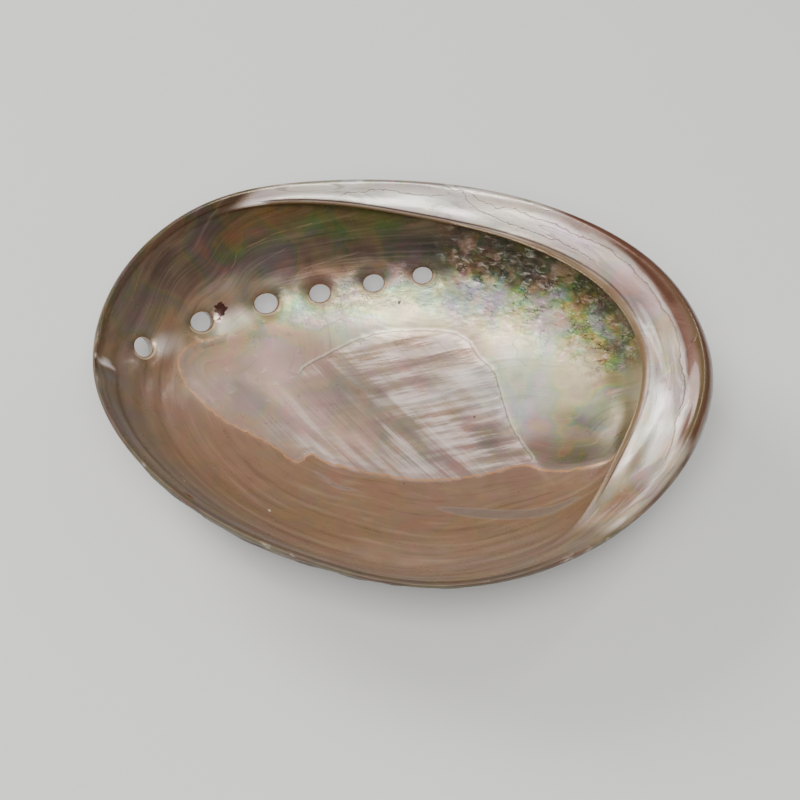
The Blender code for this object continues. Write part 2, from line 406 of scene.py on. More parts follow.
# %% Fine lines: old edges of growth, folds, cracks of the shelf, windows in the lip
STRIAE = (
    smooth_line([(-53.5, 17.5), (-53.0, 21.0), (-50.0, 26.5), (-45.5, 30.0), (-44.0, 32.5),
                 (-40.5, 36.0), (-39.5, 38.5), (-34.5, 41.0), (-30.5, 43.0), (-22.0, 45.5)]),
    smooth_line([(-60.0, 9.5), (-61.0, 5.5), (-60.0, 0.5), (-58.0, -3.0), (-54.0, -6.5),
                 (-47.0, -10.5), (-37.5, -15.5), (-28.0, -18.5)]),
    smooth_line([(8.5, 36.5), (8.0, 35.0), (4.0, 34.0), (-4.0, 33.0), (-8.5, 31.5),
                 (-10.0, 30.5), (-13.5, 28.0), (-19.5, 24.5)]),
    smooth_line([(28.0, 22.0), (27.0, 20.5), (28.5, 19.0), (28.0, 17.5), (29.5, 16.0)]),
)
FOLDS = (
    smooth_line([(-48.5, 27.5), (-46.5, 28.5), (-43.0, 30.0), (-39.0, 32.5), (-37.5, 34.5),
                 (-34.0, 37.5), (-28.5, 40.5)]),
    smooth_line([(-30.0, 33.5), (-26.5, 34.5), (-24.5, 37.0), (-19.0, 39.0), (-11.0, 41.0)]),
    smooth_line([(28.5, -2.0), (30.0, -7.0), (34.0, -10.5), (41.0, -12.0), (46.5, -11.0)]),
    smooth_line([(37.5, -2.0), (39.0, -3.0), (39.5, -4.5), (41.5, -4.5), (44.5, -4.5)]),
)
SHELF_CRACKS = (
    smooth_line([(26.5, 42.0), (30.5, 40.0), (34.5, 38.5), (41.0, 35.0), (46.0, 32.5), (49.5, 30.0),
                 (52.5, 27.0), (55.0, 24.0), (57.5, 20.5), (59.5, 16.0), (61.5, 12.5), (62.5, 8.5),
                 (63.0, 5.0), (63.0, 0.0), (63.5, -3.5), (63.0, -7.5), (61.5, -10.0)]),
    smooth_line([(10.0, 48.0), (12.5, 46.5), (14.5, 46.0), (15.5, 44.5), (17.5, 43.0), (19.5, 42.0),
                 (26.5, 39.0), (32.5, 36.5), (40.0, 32.5), (45.0, 29.0)]),
    smooth_line([(-14.0, 47.5), (-4.0, 48.0), (4.0, 46.5), (10.0, 46.0)]),
)
BRANCHES = (
    smooth_line([(14.0, 46.5), (18.5, 44.5), (21.0, 43.5), (22.5, 42.5), (24.5, 42.5)]),
    smooth_line([(31.0, 42.0), (37.0, 39.5), (43.0, 37.0), (50.0, 32.0)]),
    smooth_line([(63.5, -8.0), (61.0, -12.0), (60.0, -17.0), (58.0, -22.0)]),
)
WINDOWS = (
    (smooth_line([(8.0, -22.5), (16.0, -24.0), (25.0, -25.0), (34.0, -24.5), (41.0, -21.5)]), 1.3),
    (smooth_line([(-21.5, -12.5), (-17.5, -15.5), (-14.5, -17.5), (-8.5, -18.0)]), 0.6),
)

# The course of the fine lines on the wall above the holes.
FLOW = smooth_line([(-60.0, 2.0), (-53.5, 17.5), (-50.0, 26.5), (-44.0, 32.5), (-39.5, 38.5),
                    (-30.5, 43.0), (-10.0, 47.0), (20.0, 46.0), (45.0, 34.0), (56.0, 14.0),
                    (56.0, 0.0)])
print(len(STRIAE), "old edges,", len(FOLDS), "folds,", len(SHELF_CRACKS), "cracks")


# %% [markdown]
# A hole is an oval whose long axis lies along the row. Its short axis and the direction of
# its tube follow from a tilt of 60 degrees, because the holes lie on the sloping wall.

# %% How each hole lies, and how near a point is to one
def hole_axes(number):
    """Along the row, across it, and out of the wall towards the mouth."""
    before = HOLES[max(number - 1, 0)]
    after = HOLES[min(number + 1, len(HOLES) - 1)]
    along = (after - before) / np.linalg.norm(after - before)
    inward = np.array([along[1], -along[0], 0.0])
    inward /= np.linalg.norm(inward)
    axis = inward * math.cos(HOLE_TILT) + np.array([0.0, 0.0, math.sin(HOLE_TILT)])
    across = np.cross(axis, along)
    across /= np.linalg.norm(across)
    return along, across, np.cross(along, across)


def gap_to_holes(points):
    """Distance in millimetres from the nearest open hole's edge, less than 0 within it,
    and how far up the wall the point lies from that hole."""
    gap = np.full(points.shape[:-1], 1e9)
    up_wall = np.zeros(points.shape[:-1])
    for number, centre in enumerate(HOLES):
        along, across, _ = hole_axes(number)
        a, b = (points - centre) @ along, (points - centre) @ across
        half = (HOLE_LENGTH[number] / 2.0, HOLE_WIDTH[number] / 2.0)
        oval = np.hypot(a / half[0], b / half[1])
        here = (oval - 1.0) * sum(half) / 2.0
        far = np.linalg.norm(points - centre, axis=-1)
        here = np.where(far > 12.0, far, here)
        nearer = here < gap
        gap = np.where(nearer, here, gap)
        up_wall = np.where(nearer, b, up_wall)
    return gap, up_wall


on_crest, _ = gap_to_holes(crest_row)
print("nearest hole to the rim:", on_crest.min().round(1), "mm")


# %% [markdown]
# ## Relief on the inside
#
# Nacre is smooth but never even. Round each hole it dips like a funnel. Over each sealed
# hole it has piled up into a crumpled blister. The muscle scar is a shallow step, the
# silver floor stands a little proud of the tan lip, and the lip has low ripples that run
# parallel to the rim. Each of these is a height in millimetres along the surface's
# normal, so that they can simply be added up.

# %% Two rulers along the rim
def shelf_share(turn):
    """How much shelf there is at a turn, read from the stations."""
    around = np.arange(STATION_COUNT + 1)
    column = np.append(STATIONS[:, 4], STATIONS[0, 4])
    return np.interp(turn, around, column)


def along_rim(turn, from_rim, stretch):
    """Coordinates for patterns that follow the rim: a circle for the way round, shrunk by
    stretch so that the pattern is drawn out lengthwise, and the distance from the rim."""
    angle = turn * (2.0 * math.pi / STATION_COUNT)
    round_about = 60.0 / stretch
    return np.stack([round_about * np.cos(angle), round_about * np.sin(angle), from_rim], axis=-1)


print("shelf at turns 0, 5.5 and 6:", shelf_share(np.array([0.0, 5.5, 6.0])).round(2))


# %% The inside height field
def inside_height(points, turn, ring, from_rim):
    """The sum of funnels, gutter, blisters, folds, steps at the edges and ripples: bells
    and ramps of the distances to the landmarks, each times its depth in millimetres."""
    x, y = points[..., 0], points[..., 1]
    floor = 1.0 - ramp(ring, 6.2, 7.2)
    on_top = ramp(ring, 8.2, 9.0) * (1.0 - ramp(ring, 11.2, 12.0))
    shelf = on_top * ramp(shelf_share(turn), 0.2, 0.8)
    lip = (1.0 - ramp(shelf_share(turn), 0.05, 0.5)) * ramp(ring, 3.0, 5.0)

    gap, up_wall = gap_to_holes(points)
    no_shelf = 1.0 - ramp(shelf_share(turn), 0.1, 0.7)
    thinned = -0.6 * no_shelf * bell(from_rim - 2.6, 1.7)
    height = thinned - 0.75 * np.exp(-np.maximum(gap, -1.0) / 1.0) * floor
    height += 0.12 * bell(gap - 2.6, 1.3) * floor

    # The gutter from the last hole to the notch in the rim, where the next hole forms.
    gutter, _ = distance_to_line(x, y, [(-64.5, 8.5), (-70.5, 1.6)])
    height -= 0.75 * bell(gutter, 1.9)
    height += 0.35 * bell(gutter - 3.6, 1.4)

    near_keel, _ = distance_to_line(x, y, KEEL)
    crumpled = floor * bell(near_keel - 2.0, 5.5) * ramp(x, 6.0, 15.0) * ramp(y, 10.0, 20.0)
    for place_x, place_y, radius, rise in SEALED:
        far = np.hypot(x - place_x, (y - place_y))
        height += floor * rise * (bell(far, radius) - 1.35 * bell(far - 0.1, radius * 0.38))
    folds = np.abs(random_waves(points, 7.0, seed=3)) - 0.8
    height -= 0.34 * crumpled * folds
    height += 0.12 * crumpled * random_waves(points, 2.6, seed=4)

    scar_gap, scar_side = distance_to_line(x, y, SCAR_EDGE)
    inside_scar = ramp(scar_gap * -scar_side, -0.5, 0.5)
    height -= floor * 0.22 * inside_scar * bell(scar_gap, 6.0)
    height += floor * 0.07 * bell(scar_gap, 0.9)
    silver_gap, silver_side = distance_to_line(x, y, SILVER_EDGE)
    height += floor * 0.16 * ramp(silver_gap * silver_side, -0.4, 0.4) * bell(silver_gap, 6.0)

    ripples = np.sin(2.0 * math.pi * from_rim / 5.2 + 1.6 * random_waves(points, 38.0, seed=5))
    height += lip * 0.09 * ripples * ramp(from_rim, 0.6, 4.0)
    height += 0.10 * random_waves(points, 16.0, seed=6) * floor
    lengthwise = along_rim(turn, from_rim, 5.0)
    height += shelf * 0.13 * random_waves(lengthwise, 6.0, seed=7)
    return height


# %% [markdown]
# ## Relief on the back
#
# The back carries the shell's whole history. The spire is a small flat spiral. From it
# the keel sweeps round with a knob for every hole, open or sealed. Ridges parallel to
# the rim mark pauses in growth, and fine cords run along the spiral across them.

# %% A spiral, and the age of the shell
def spiral_turn(x, y):
    """The angle round the spire plus a part that grows with the logarithm of distance,
    so that equal values lie on a logarithmic spiral."""
    away = np.hypot(x - SPIRE[0], y - SPIRE[1]) + 0.6
    return np.arctan2(y - SPIRE[1], x - SPIRE[0]) + 1.9 * np.log(away / 10.0), away


PAUSES, LINES, AGE_DEPTH = 9.0, 15.0, 70.0   # pauses and lines from spire to rim; mm


def age_share(growth, from_rim):
    """1 at the rim and falling towards the spire. The distance down from the rim is
    mixed in, so that the steep side under the row of holes gets its ridges too."""
    return growth + from_rim / AGE_DEPTH


print("age at the rim:", age_share(1.0, 0.0))


# %% The outside height field
def outside_height(points, ring, growth, age):
    """The sum of keel, knobs, sines of the age for pauses and lines, cords that fan out
    from the spire, and the whorls of its logarithmic spiral."""
    x, y = points[..., 0], points[..., 1]
    outside = ramp(ring, 13.2, 14.4) * (0.4 + 0.6 * ramp(ring, 14.2, 16.0))
    gap, _ = gap_to_holes(points)
    near_keel, _ = distance_to_line(x, y, KEEL)
    wander = random_waves(points, 30.0, seed=11)
    uneven = random_waves(points, 9.0, seed=12)

    height = 0.75 * bell(near_keel, 3.4) * ramp(growth, 0.15, 0.5)
    height += 0.85 * bell(gap, 1.6)
    for place_x, place_y, radius, rise in SEALED:
        height += 0.8 * rise * bell(np.hypot(x - place_x, y - place_y), radius * 0.8)

    pauses = np.sin(2.0 * math.pi * (age * PAUSES + 0.30 * wander))
    lines = np.sin(2.0 * math.pi * (age * LINES + 0.7 * wander))
    height += ramp(growth, 0.12, 0.35) * (0.30 * pauses * (1.0 + 0.5 * uneven) + 0.12 * lines)
    turn, away = spiral_turn(x, y)
    cords = np.cos(46.0 * np.arctan2(y - SPIRE[1], x - SPIRE[0]))
    height += 0.07 * cords * ramp(growth, 0.3, 0.6)
    whorls = np.cos(turn)
    height += 0.85 * (np.abs(whorls) ** 0.6 * 1.4 - 1.0) * bell(away, 11.0)
    height += 0.14 * uneven
    return outside * height


# %% Carve the relief into the grid
def height_of(points, turn, ring, from_rim, growth):
    """The sum of both fields, each on its own side of the rim."""
    inside = 1.0 - ramp(ring, CREST_RING - 0.3, CREST_RING + 0.5)
    total = inside * inside_height(points, turn, ring, from_rim)
    total += outside_height(points, ring, growth, age_share(growth, from_rim))
    flat = ramp(points[..., 2], 0.4, 4.0)
    outer_half = ring > CREST_RING + 1.0
    return np.where(outer_half, total * flat, total)


turn_grid = np.broadcast_to(TURNS[None, :], from_rim.shape)
ring_grid = np.broadcast_to(RINGS[:, None], from_rim.shape)
height = height_of(base, turn_grid, ring_grid, from_rim, growth)
for pole in (0, -1):
    height[pole] = height[pole].mean()
shape = base + normal * height[..., None]
shape[..., 2] = np.maximum(shape[..., 2], 0.0)
print("relief from", height.min().round(2), "to", height.max().round(2), "mm")


# %% [markdown]
# ## From grid to mesh
#
# The grid becomes quads, with a fan of triangles at each pole. Two UV maps travel with
# the corners: where a corner is on the grid, and its two growth measures. They survive
# the cutting of the holes, so every later field can be read back from them.

# %% The uncut shell
def shell_mesh(points):
    """One pole point, every ring between, the other pole. Faces run counter-clockwise
    seen from outside the nacre."""
    ring_count = len(RINGS)
    places = np.concatenate([points[:1, 0], points[1:-1].reshape(-1, 3), points[-1:, 0]])
    index = np.zeros((ring_count, AROUND + 1), int)
    inner = np.arange((ring_count - 2) * AROUND).reshape(ring_count - 2, AROUND) + 1
    index[1:-1, :-1] = inner
    index[1:-1, -1] = inner[:, 0]
    index[-1] = len(places) - 1

    a, b = index[1:-2, :-1], index[2:-1, :-1]
    c, d = index[2:-1, 1:], index[1:-2, 1:]
    quads = np.stack([a, b, c, d], axis=-1).reshape(-1, 4)
    first = np.stack([index[0, :-1], index[1, :-1], index[1, 1:]], axis=-1)
    last = np.stack([index[-2, :-1], index[-1, :-1], index[-2, 1:]], axis=-1)

    mesh = bpy.data.meshes.new("nacre_shell")
    mesh.from_pydata(places * MM, [], quads.tolist() + first.tolist() + last.tolist())

    column = np.arange(AROUND + 1) * STATION_COUNT / AROUND
    left, right = column[:-1], column[1:]
    middle = (left + right) / 2.0

    def corners(table):
        """Values of a ring by turn table at every corner of every face."""
        wide = np.concatenate([table, table[:, :1]], axis=1)
        inner_quads = np.stack([wide[1:-2, :-1], wide[2:-1, :-1], wide[2:-1, 1:],
                                wide[1:-2, 1:]], axis=-1)
        first_fan = np.stack([wide[0, :-1], wide[1, :-1], wide[1, 1:]], axis=-1)
        last_fan = np.stack([wide[-2, :-1], wide[-1, :-1], wide[-2, 1:]], axis=-1)
        return np.concatenate([inner_quads.ravel(), first_fan.ravel(), last_fan.ravel()])

    quad_turn = np.broadcast_to(np.stack([left, left, right, right], axis=-1),
                                (ring_count - 3, AROUND, 4))
    fan_turn = np.stack([middle, left, right], axis=-1)
    end_turn = np.stack([left, middle, right], axis=-1)
    turn = np.concatenate([quad_turn.ravel(), fan_turn.ravel(), end_turn.ravel()])
    ring = corners(np.broadcast_to(RINGS[:, None], (ring_count, AROUND)))
    for name, first_value, second_value in (
            ("Place", turn, ring), ("Measure", corners(from_rim), corners(growth))):
        layer = mesh.uv_layers.new(name=name)
        layer.data.foreach_set("uv", np.stack([first_value, second_value], -1).ravel())
    mesh.validate()
    return mesh


uncut = bpy.data.objects.new("uncut_shell", shell_mesh(shape))
bpy.context.scene.collection.objects.link(uncut)
print(len(uncut.data.polygons), "faces before the holes are cut")


# %% [markdown]
# ## Breathing holes
#
# The animal breathes out through these. Each is an oval tube through the wall, a little
# narrower in the middle than at its ends. A Boolean is the honest tool, because the
# hole's edge is then the true line where tube and wall meet.

# %% One tube
TUBE_SIDES, TUBE_RINGS, TUBE_REACH = 48, 15, 9.0
HOLE_MARK = 100.0   # the ring value that marks a corner of a tube


def tube_mesh(number):
    """An oval spool: at height h along the axis the radius is the hole's, times 0.97 plus
    a flare that grows with the square of h. Its ends are closed with a fan."""
    along, across, axis = hole_axes(number)
    turn = np.arange(TUBE_SIDES) * 2.0 * math.pi / TUBE_SIDES
    h = np.linspace(-TUBE_REACH, TUBE_REACH, TUBE_RINGS)[:, None]
    wide = 0.97 + 0.012 * h**2
    a = HOLE_LENGTH[number] / 2.0 * np.cos(turn) * wide
    b = HOLE_WIDTH[number] / 2.0 * np.sin(turn) * wide
    points = (HOLES[number] + a[..., None] * along + b[..., None] * across
              + (h + 0.0 * a)[..., None] * axis).reshape(-1, 3)
    ends = HOLES[number] + np.outer([-TUBE_REACH, TUBE_REACH], axis)
    index = np.arange(TUBE_RINGS * TUBE_SIDES).reshape(TUBE_RINGS, TUBE_SIDES)
    after = np.roll(index, -1, axis=1)
    quads = np.stack([index[:-1], after[:-1], after[1:], index[1:]], axis=-1).reshape(-1, 4)
    bottom, top = len(points), len(points) + 1
    low = np.stack([after[0], index[0], np.full(TUBE_SIDES, bottom)], axis=-1)
    high = np.stack([index[-1], after[-1], np.full(TUBE_SIDES, top)], axis=-1)
    mesh = bpy.data.meshes.new(f"hole_tube_{number + 1}")
    faces = quads.tolist() + low.tolist() + high.tolist()
    mesh.from_pydata(np.concatenate([points, ends]) * MM, [], faces)
    share = turn / (2.0 * math.pi)
    tall = np.arange(TUBE_RINGS) / (TUBE_RINGS - 1.0)
    left = np.broadcast_to(share, (TUBE_RINGS - 1, TUBE_SIDES))
    right = left + 1.0 / TUBE_SIDES
    bottom_edge = np.broadcast_to(tall[:-1, None], left.shape)
    top_edge = np.broadcast_to(tall[1:, None], left.shape)
    u = np.stack([left, right, right, left], axis=-1).ravel()
    v = np.stack([bottom_edge, bottom_edge, top_edge, top_edge], axis=-1).ravel()
    blank = np.zeros(6 * TUBE_SIDES)
    place = mesh.uv_layers.new(name="Place")
    flags = np.full(len(u) + len(blank), HOLE_MARK + number)
    place.data.foreach_set("uv", np.stack([np.concatenate([u, blank]), flags], -1).ravel())
    measure = mesh.uv_layers.new(name="Measure")
    tube_height = np.concatenate([v, blank])
    measure.data.foreach_set("uv", np.stack([tube_height, 0.0 * tube_height], -1).ravel())
    return mesh


print("a tube has", TUBE_SIDES, "sides and", TUBE_RINGS, "rings")


# %% Cut the holes
def cut_holes(shell):
    """Return a new mesh of the shell with every tube taken away."""
    tubes = bpy.data.collections.new("hole_tubes")
    for number in range(len(HOLES)):
        tubes.objects.link(bpy.data.objects.new(f"hole_tube_{number + 1}", tube_mesh(number)))
    boolean = shell.modifiers.new("holes", "BOOLEAN")
    boolean.operation, boolean.solver = "DIFFERENCE", "EXACT"
    boolean.operand_type, boolean.collection = "COLLECTION", tubes
    seen = shell.evaluated_get(bpy.context.evaluated_depsgraph_get())
    mesh = bpy.data.meshes.new_from_object(seen)
    for tube in list(tubes.objects):
        bpy.data.objects.remove(tube, do_unlink=True)
    bpy.data.collections.remove(tubes)
    bpy.data.objects.remove(shell, do_unlink=True)
    return mesh


shell_data = cut_holes(uncut)
shell_data.name = "nacre_shell"
nacre_shell = bpy.data.objects.new("nacre_shell", shell_data)
bpy.context.scene.collection.objects.link(nacre_shell)
shell_data.shade_smooth()
print(len(shell_data.polygons), "faces after")


# %% [markdown]
# ## Reading the fields back
#
# The cut made new points on the edges of the holes. Every point of the finished mesh now
# looks up its place on the grid from its corners, and the measures are taken again.

# %% Fields of the finished mesh
def corner_values(mesh, name):
    """The two numbers that a UV map holds at every corner."""
    values = np.zeros(2 * len(mesh.loops), np.float32)
    mesh.uv_layers[name].data.foreach_get("uv", values)
    return values.reshape(-1, 2).astype(float)


corner_count = len(shell_data.loops)
corner_point = np.zeros(corner_count, np.int32)
shell_data.loops.foreach_get("vertex_index", corner_point)
place, measure = corner_values(shell_data, "Place"), corner_values(shell_data, "Measure")
on_tube = place[:, 1] > HOLE_MARK - 1.0

spot = np.zeros(3 * len(shell_data.vertices), np.float32)
shell_data.vertices.foreach_get("co", spot)
spot = spot.reshape(-1, 3).astype(float) / MM
turn, ring, from_rim = (np.zeros(len(spot)) for _ in range(3))
bore = np.ones(len(spot))
shell_corner = ~on_tube
turn[corner_point[shell_corner]] = place[shell_corner, 0]
ring[corner_point[shell_corner]] = place[shell_corner, 1]
from_rim[corner_point[shell_corner]] = measure[shell_corner, 0]
bore[corner_point[shell_corner]] = 0.0
x, y, _ = spot.T
growth = growth_share(x, y)
gap, up_wall = gap_to_holes(spot)
gap = np.where(bore > 0.5, 0.0, gap)
print(int(bore.sum()), "points inside the holes")


# %% [markdown]
# ## A flat map for the colours
#
# When the colours are baked into a picture, each part of the surface needs its own place
# on it. The inside opens out into one oval and the outside into another, like the two
# halves of a map of the world, and the walls of the holes go in the corners.

# %% The map
MAP_SPLIT = CREST_RING + 1.5
section_length = np.linalg.norm(np.diff(base, axis=0), axis=-1).mean(axis=1)
section_length = np.concatenate([[0.0], np.cumsum(section_length)])
split_length = np.interp(MAP_SPLIT, RINGS, section_length)

face_total = np.zeros(len(shell_data.polygons), np.int32)
shell_data.polygons.foreach_get("loop_total", face_total)
corner_face = np.repeat(np.arange(len(face_total)), face_total)
face_ring = np.bincount(corner_face, place[:, 1]) / face_total
is_inside = (face_ring < MAP_SPLIT)[corner_face]

length = np.interp(place[:, 1], RINGS, section_length)
reach = np.where(is_inside, length / split_length,
                 (section_length[-1] - length) / (section_length[-1] - split_length))
angle = place[:, 0] * (2.0 * math.pi / STATION_COUNT)
u = 0.5 + 0.485 * reach * np.cos(angle)
v = np.where(is_inside, 0.25, 0.75) + 0.235 * reach * np.sin(angle)
number = np.round(place[:, 1] - HOLE_MARK)
tube_u = 0.005 + 0.08 * place[:, 0] + 0.91 * (number % 2)
tube_v = 0.415 + 0.06 * (number // 2) + 0.05 * np.clip(2.0 * measure[:, 0] - 0.5, 0.0, 1.0)
u, v = np.where(on_tube, tube_u, u), np.where(on_tube, tube_v, v)
flat_map = shell_data.uv_layers.new(name="OFBake")
flat_map.data.foreach_set("uv", np.stack([u, v], axis=-1).astype(np.float32).ravel())
flat_map.active_render = True
print("map made for", corner_count, "corners")


# %% [markdown]
# ## Regions
#
# Each region is a share between 0 and 1 at every point. They come from the landmarks and
# from the ring numbers, so that they follow the shape.

# %% The regions
def signed_distance(line):
    """Distance in plan to a chain, more than 0 on its left."""
    gap_to_line, side = distance_to_line(x, y, line)
    return gap_to_line * side


row = signed_distance(KEEL)                  # more than 0 up the wall, above the holes
silver_edge = signed_distance(SILVER_EDGE)   # more than 0 on the silver floor
scar_edge = -signed_distance(SCAR_EDGE)      # more than 0 on the scar
shelf_here = ramp(shelf_share(turn), 0.28, 0.5)
nose_row = np.searchsorted(RINGS, EDGE_RING)
nose_reach = distance_from_rim(base)[nose_row]
from_nose = np.interp(turn, np.append(TURNS, STATION_COUNT),
                      np.append(nose_reach, nose_reach[0])) - from_rim
shelf_here *= ramp(x - 1.6 * np.maximum(from_nose, 0.0), -44.0, -37.0)

within = 1.0 - ramp(ring, CREST_RING + 0.2, CREST_RING + 0.9)
outside = 1.0 - within
shelf = shelf_here * ramp(from_nose, -0.6, 0.6) * within
bowl = within * (1.0 - shelf)
low_wall = 3.2 * bell(x - 28.0, 13.0)
row_goes_on = 1.0 - ramp(x, 38.0, 46.0) * ramp(y, 13.0, 3.0)   # it ends beside the spire
wall = bowl * row_goes_on * ramp(row + low_wall, -1.0, 2.5)
wall *= ramp(y, -12.0, 26.0) * (1.0 - 0.5 * ramp(x, 40.0, 54.0))
silver = bowl * ramp(silver_edge, -0.4, 0.4) * (1.0 - wall)
lip = bowl * (1.0 - silver) * (1.0 - wall)
scar = silver * ramp(scar_edge, -0.4, 0.4)
degrees = (turn * 360.0 / STATION_COUNT + 180.0) % 360.0 - 180.0
roll = ramp(degrees, -20.0, -14.0) * (1.0 - ramp(degrees, 44.0, 58.0))
print("share of the points on the shelf", shelf.mean().round(3),
      "and outside", outside.mean().round(3))


# %% [markdown]
# ## Colours of the regions
#
# Mother of pearl has no pigment of its own: thin layers of the mineral aragonite split
# the light, so that it shines pink, green and silver in turn. Under it lies the brown of
# the outer shell, which shows through where the nacre is thin. A painter would lay the
# broad tones first and glaze the shimmer over them. The broad tones are laid here, one
# colour to a point, and the shimmer comes later in the material.

# %% The palette
def linear(code):
    """An sRGB hex colour as linear red, green and blue."""
    values = [int(code[i:i + 2], 16) / 255.0 for i in (1, 3, 5)]
    return np.array([v / 12.92 if v <= 0.04045 else ((v + 0.055) / 1.055) ** 2.4 for v in values])


PALETTE = {
    "tan": "#86684f",
    "rose tan": "#8d6955",
    "dove": "#80736a",
    "umber": "#5a442f",
    "dusk": "#3e342a",
    "olive": "#6a6238",
    "moss": "#4c5c26",
    "ember": "#a05a2c",
    "silver": "#af8d7f",
    "blush": "#dcb6a8",
    "cream": "#d8ccaa",
    "mint": "#c0dcba",
    "lilac": "#c2b2d0",
    "pearl": "#eed9cb",
    "white": "#f8efe6",
    "slate": "#7c7672",
    "chestnut": "#572b12",
    "mauve": "#7d6256",
    "bark": "#4c3a28",
    "ink": "#1c1c20",
}


def lay(paint, name, share):
    """Cover the paint with a palette colour by a share from 0 to 1."""
    colour = linear(PALETTE[name])
    return paint + (colour - paint) * np.clip(share, 0.0, 1.0)[:, None]
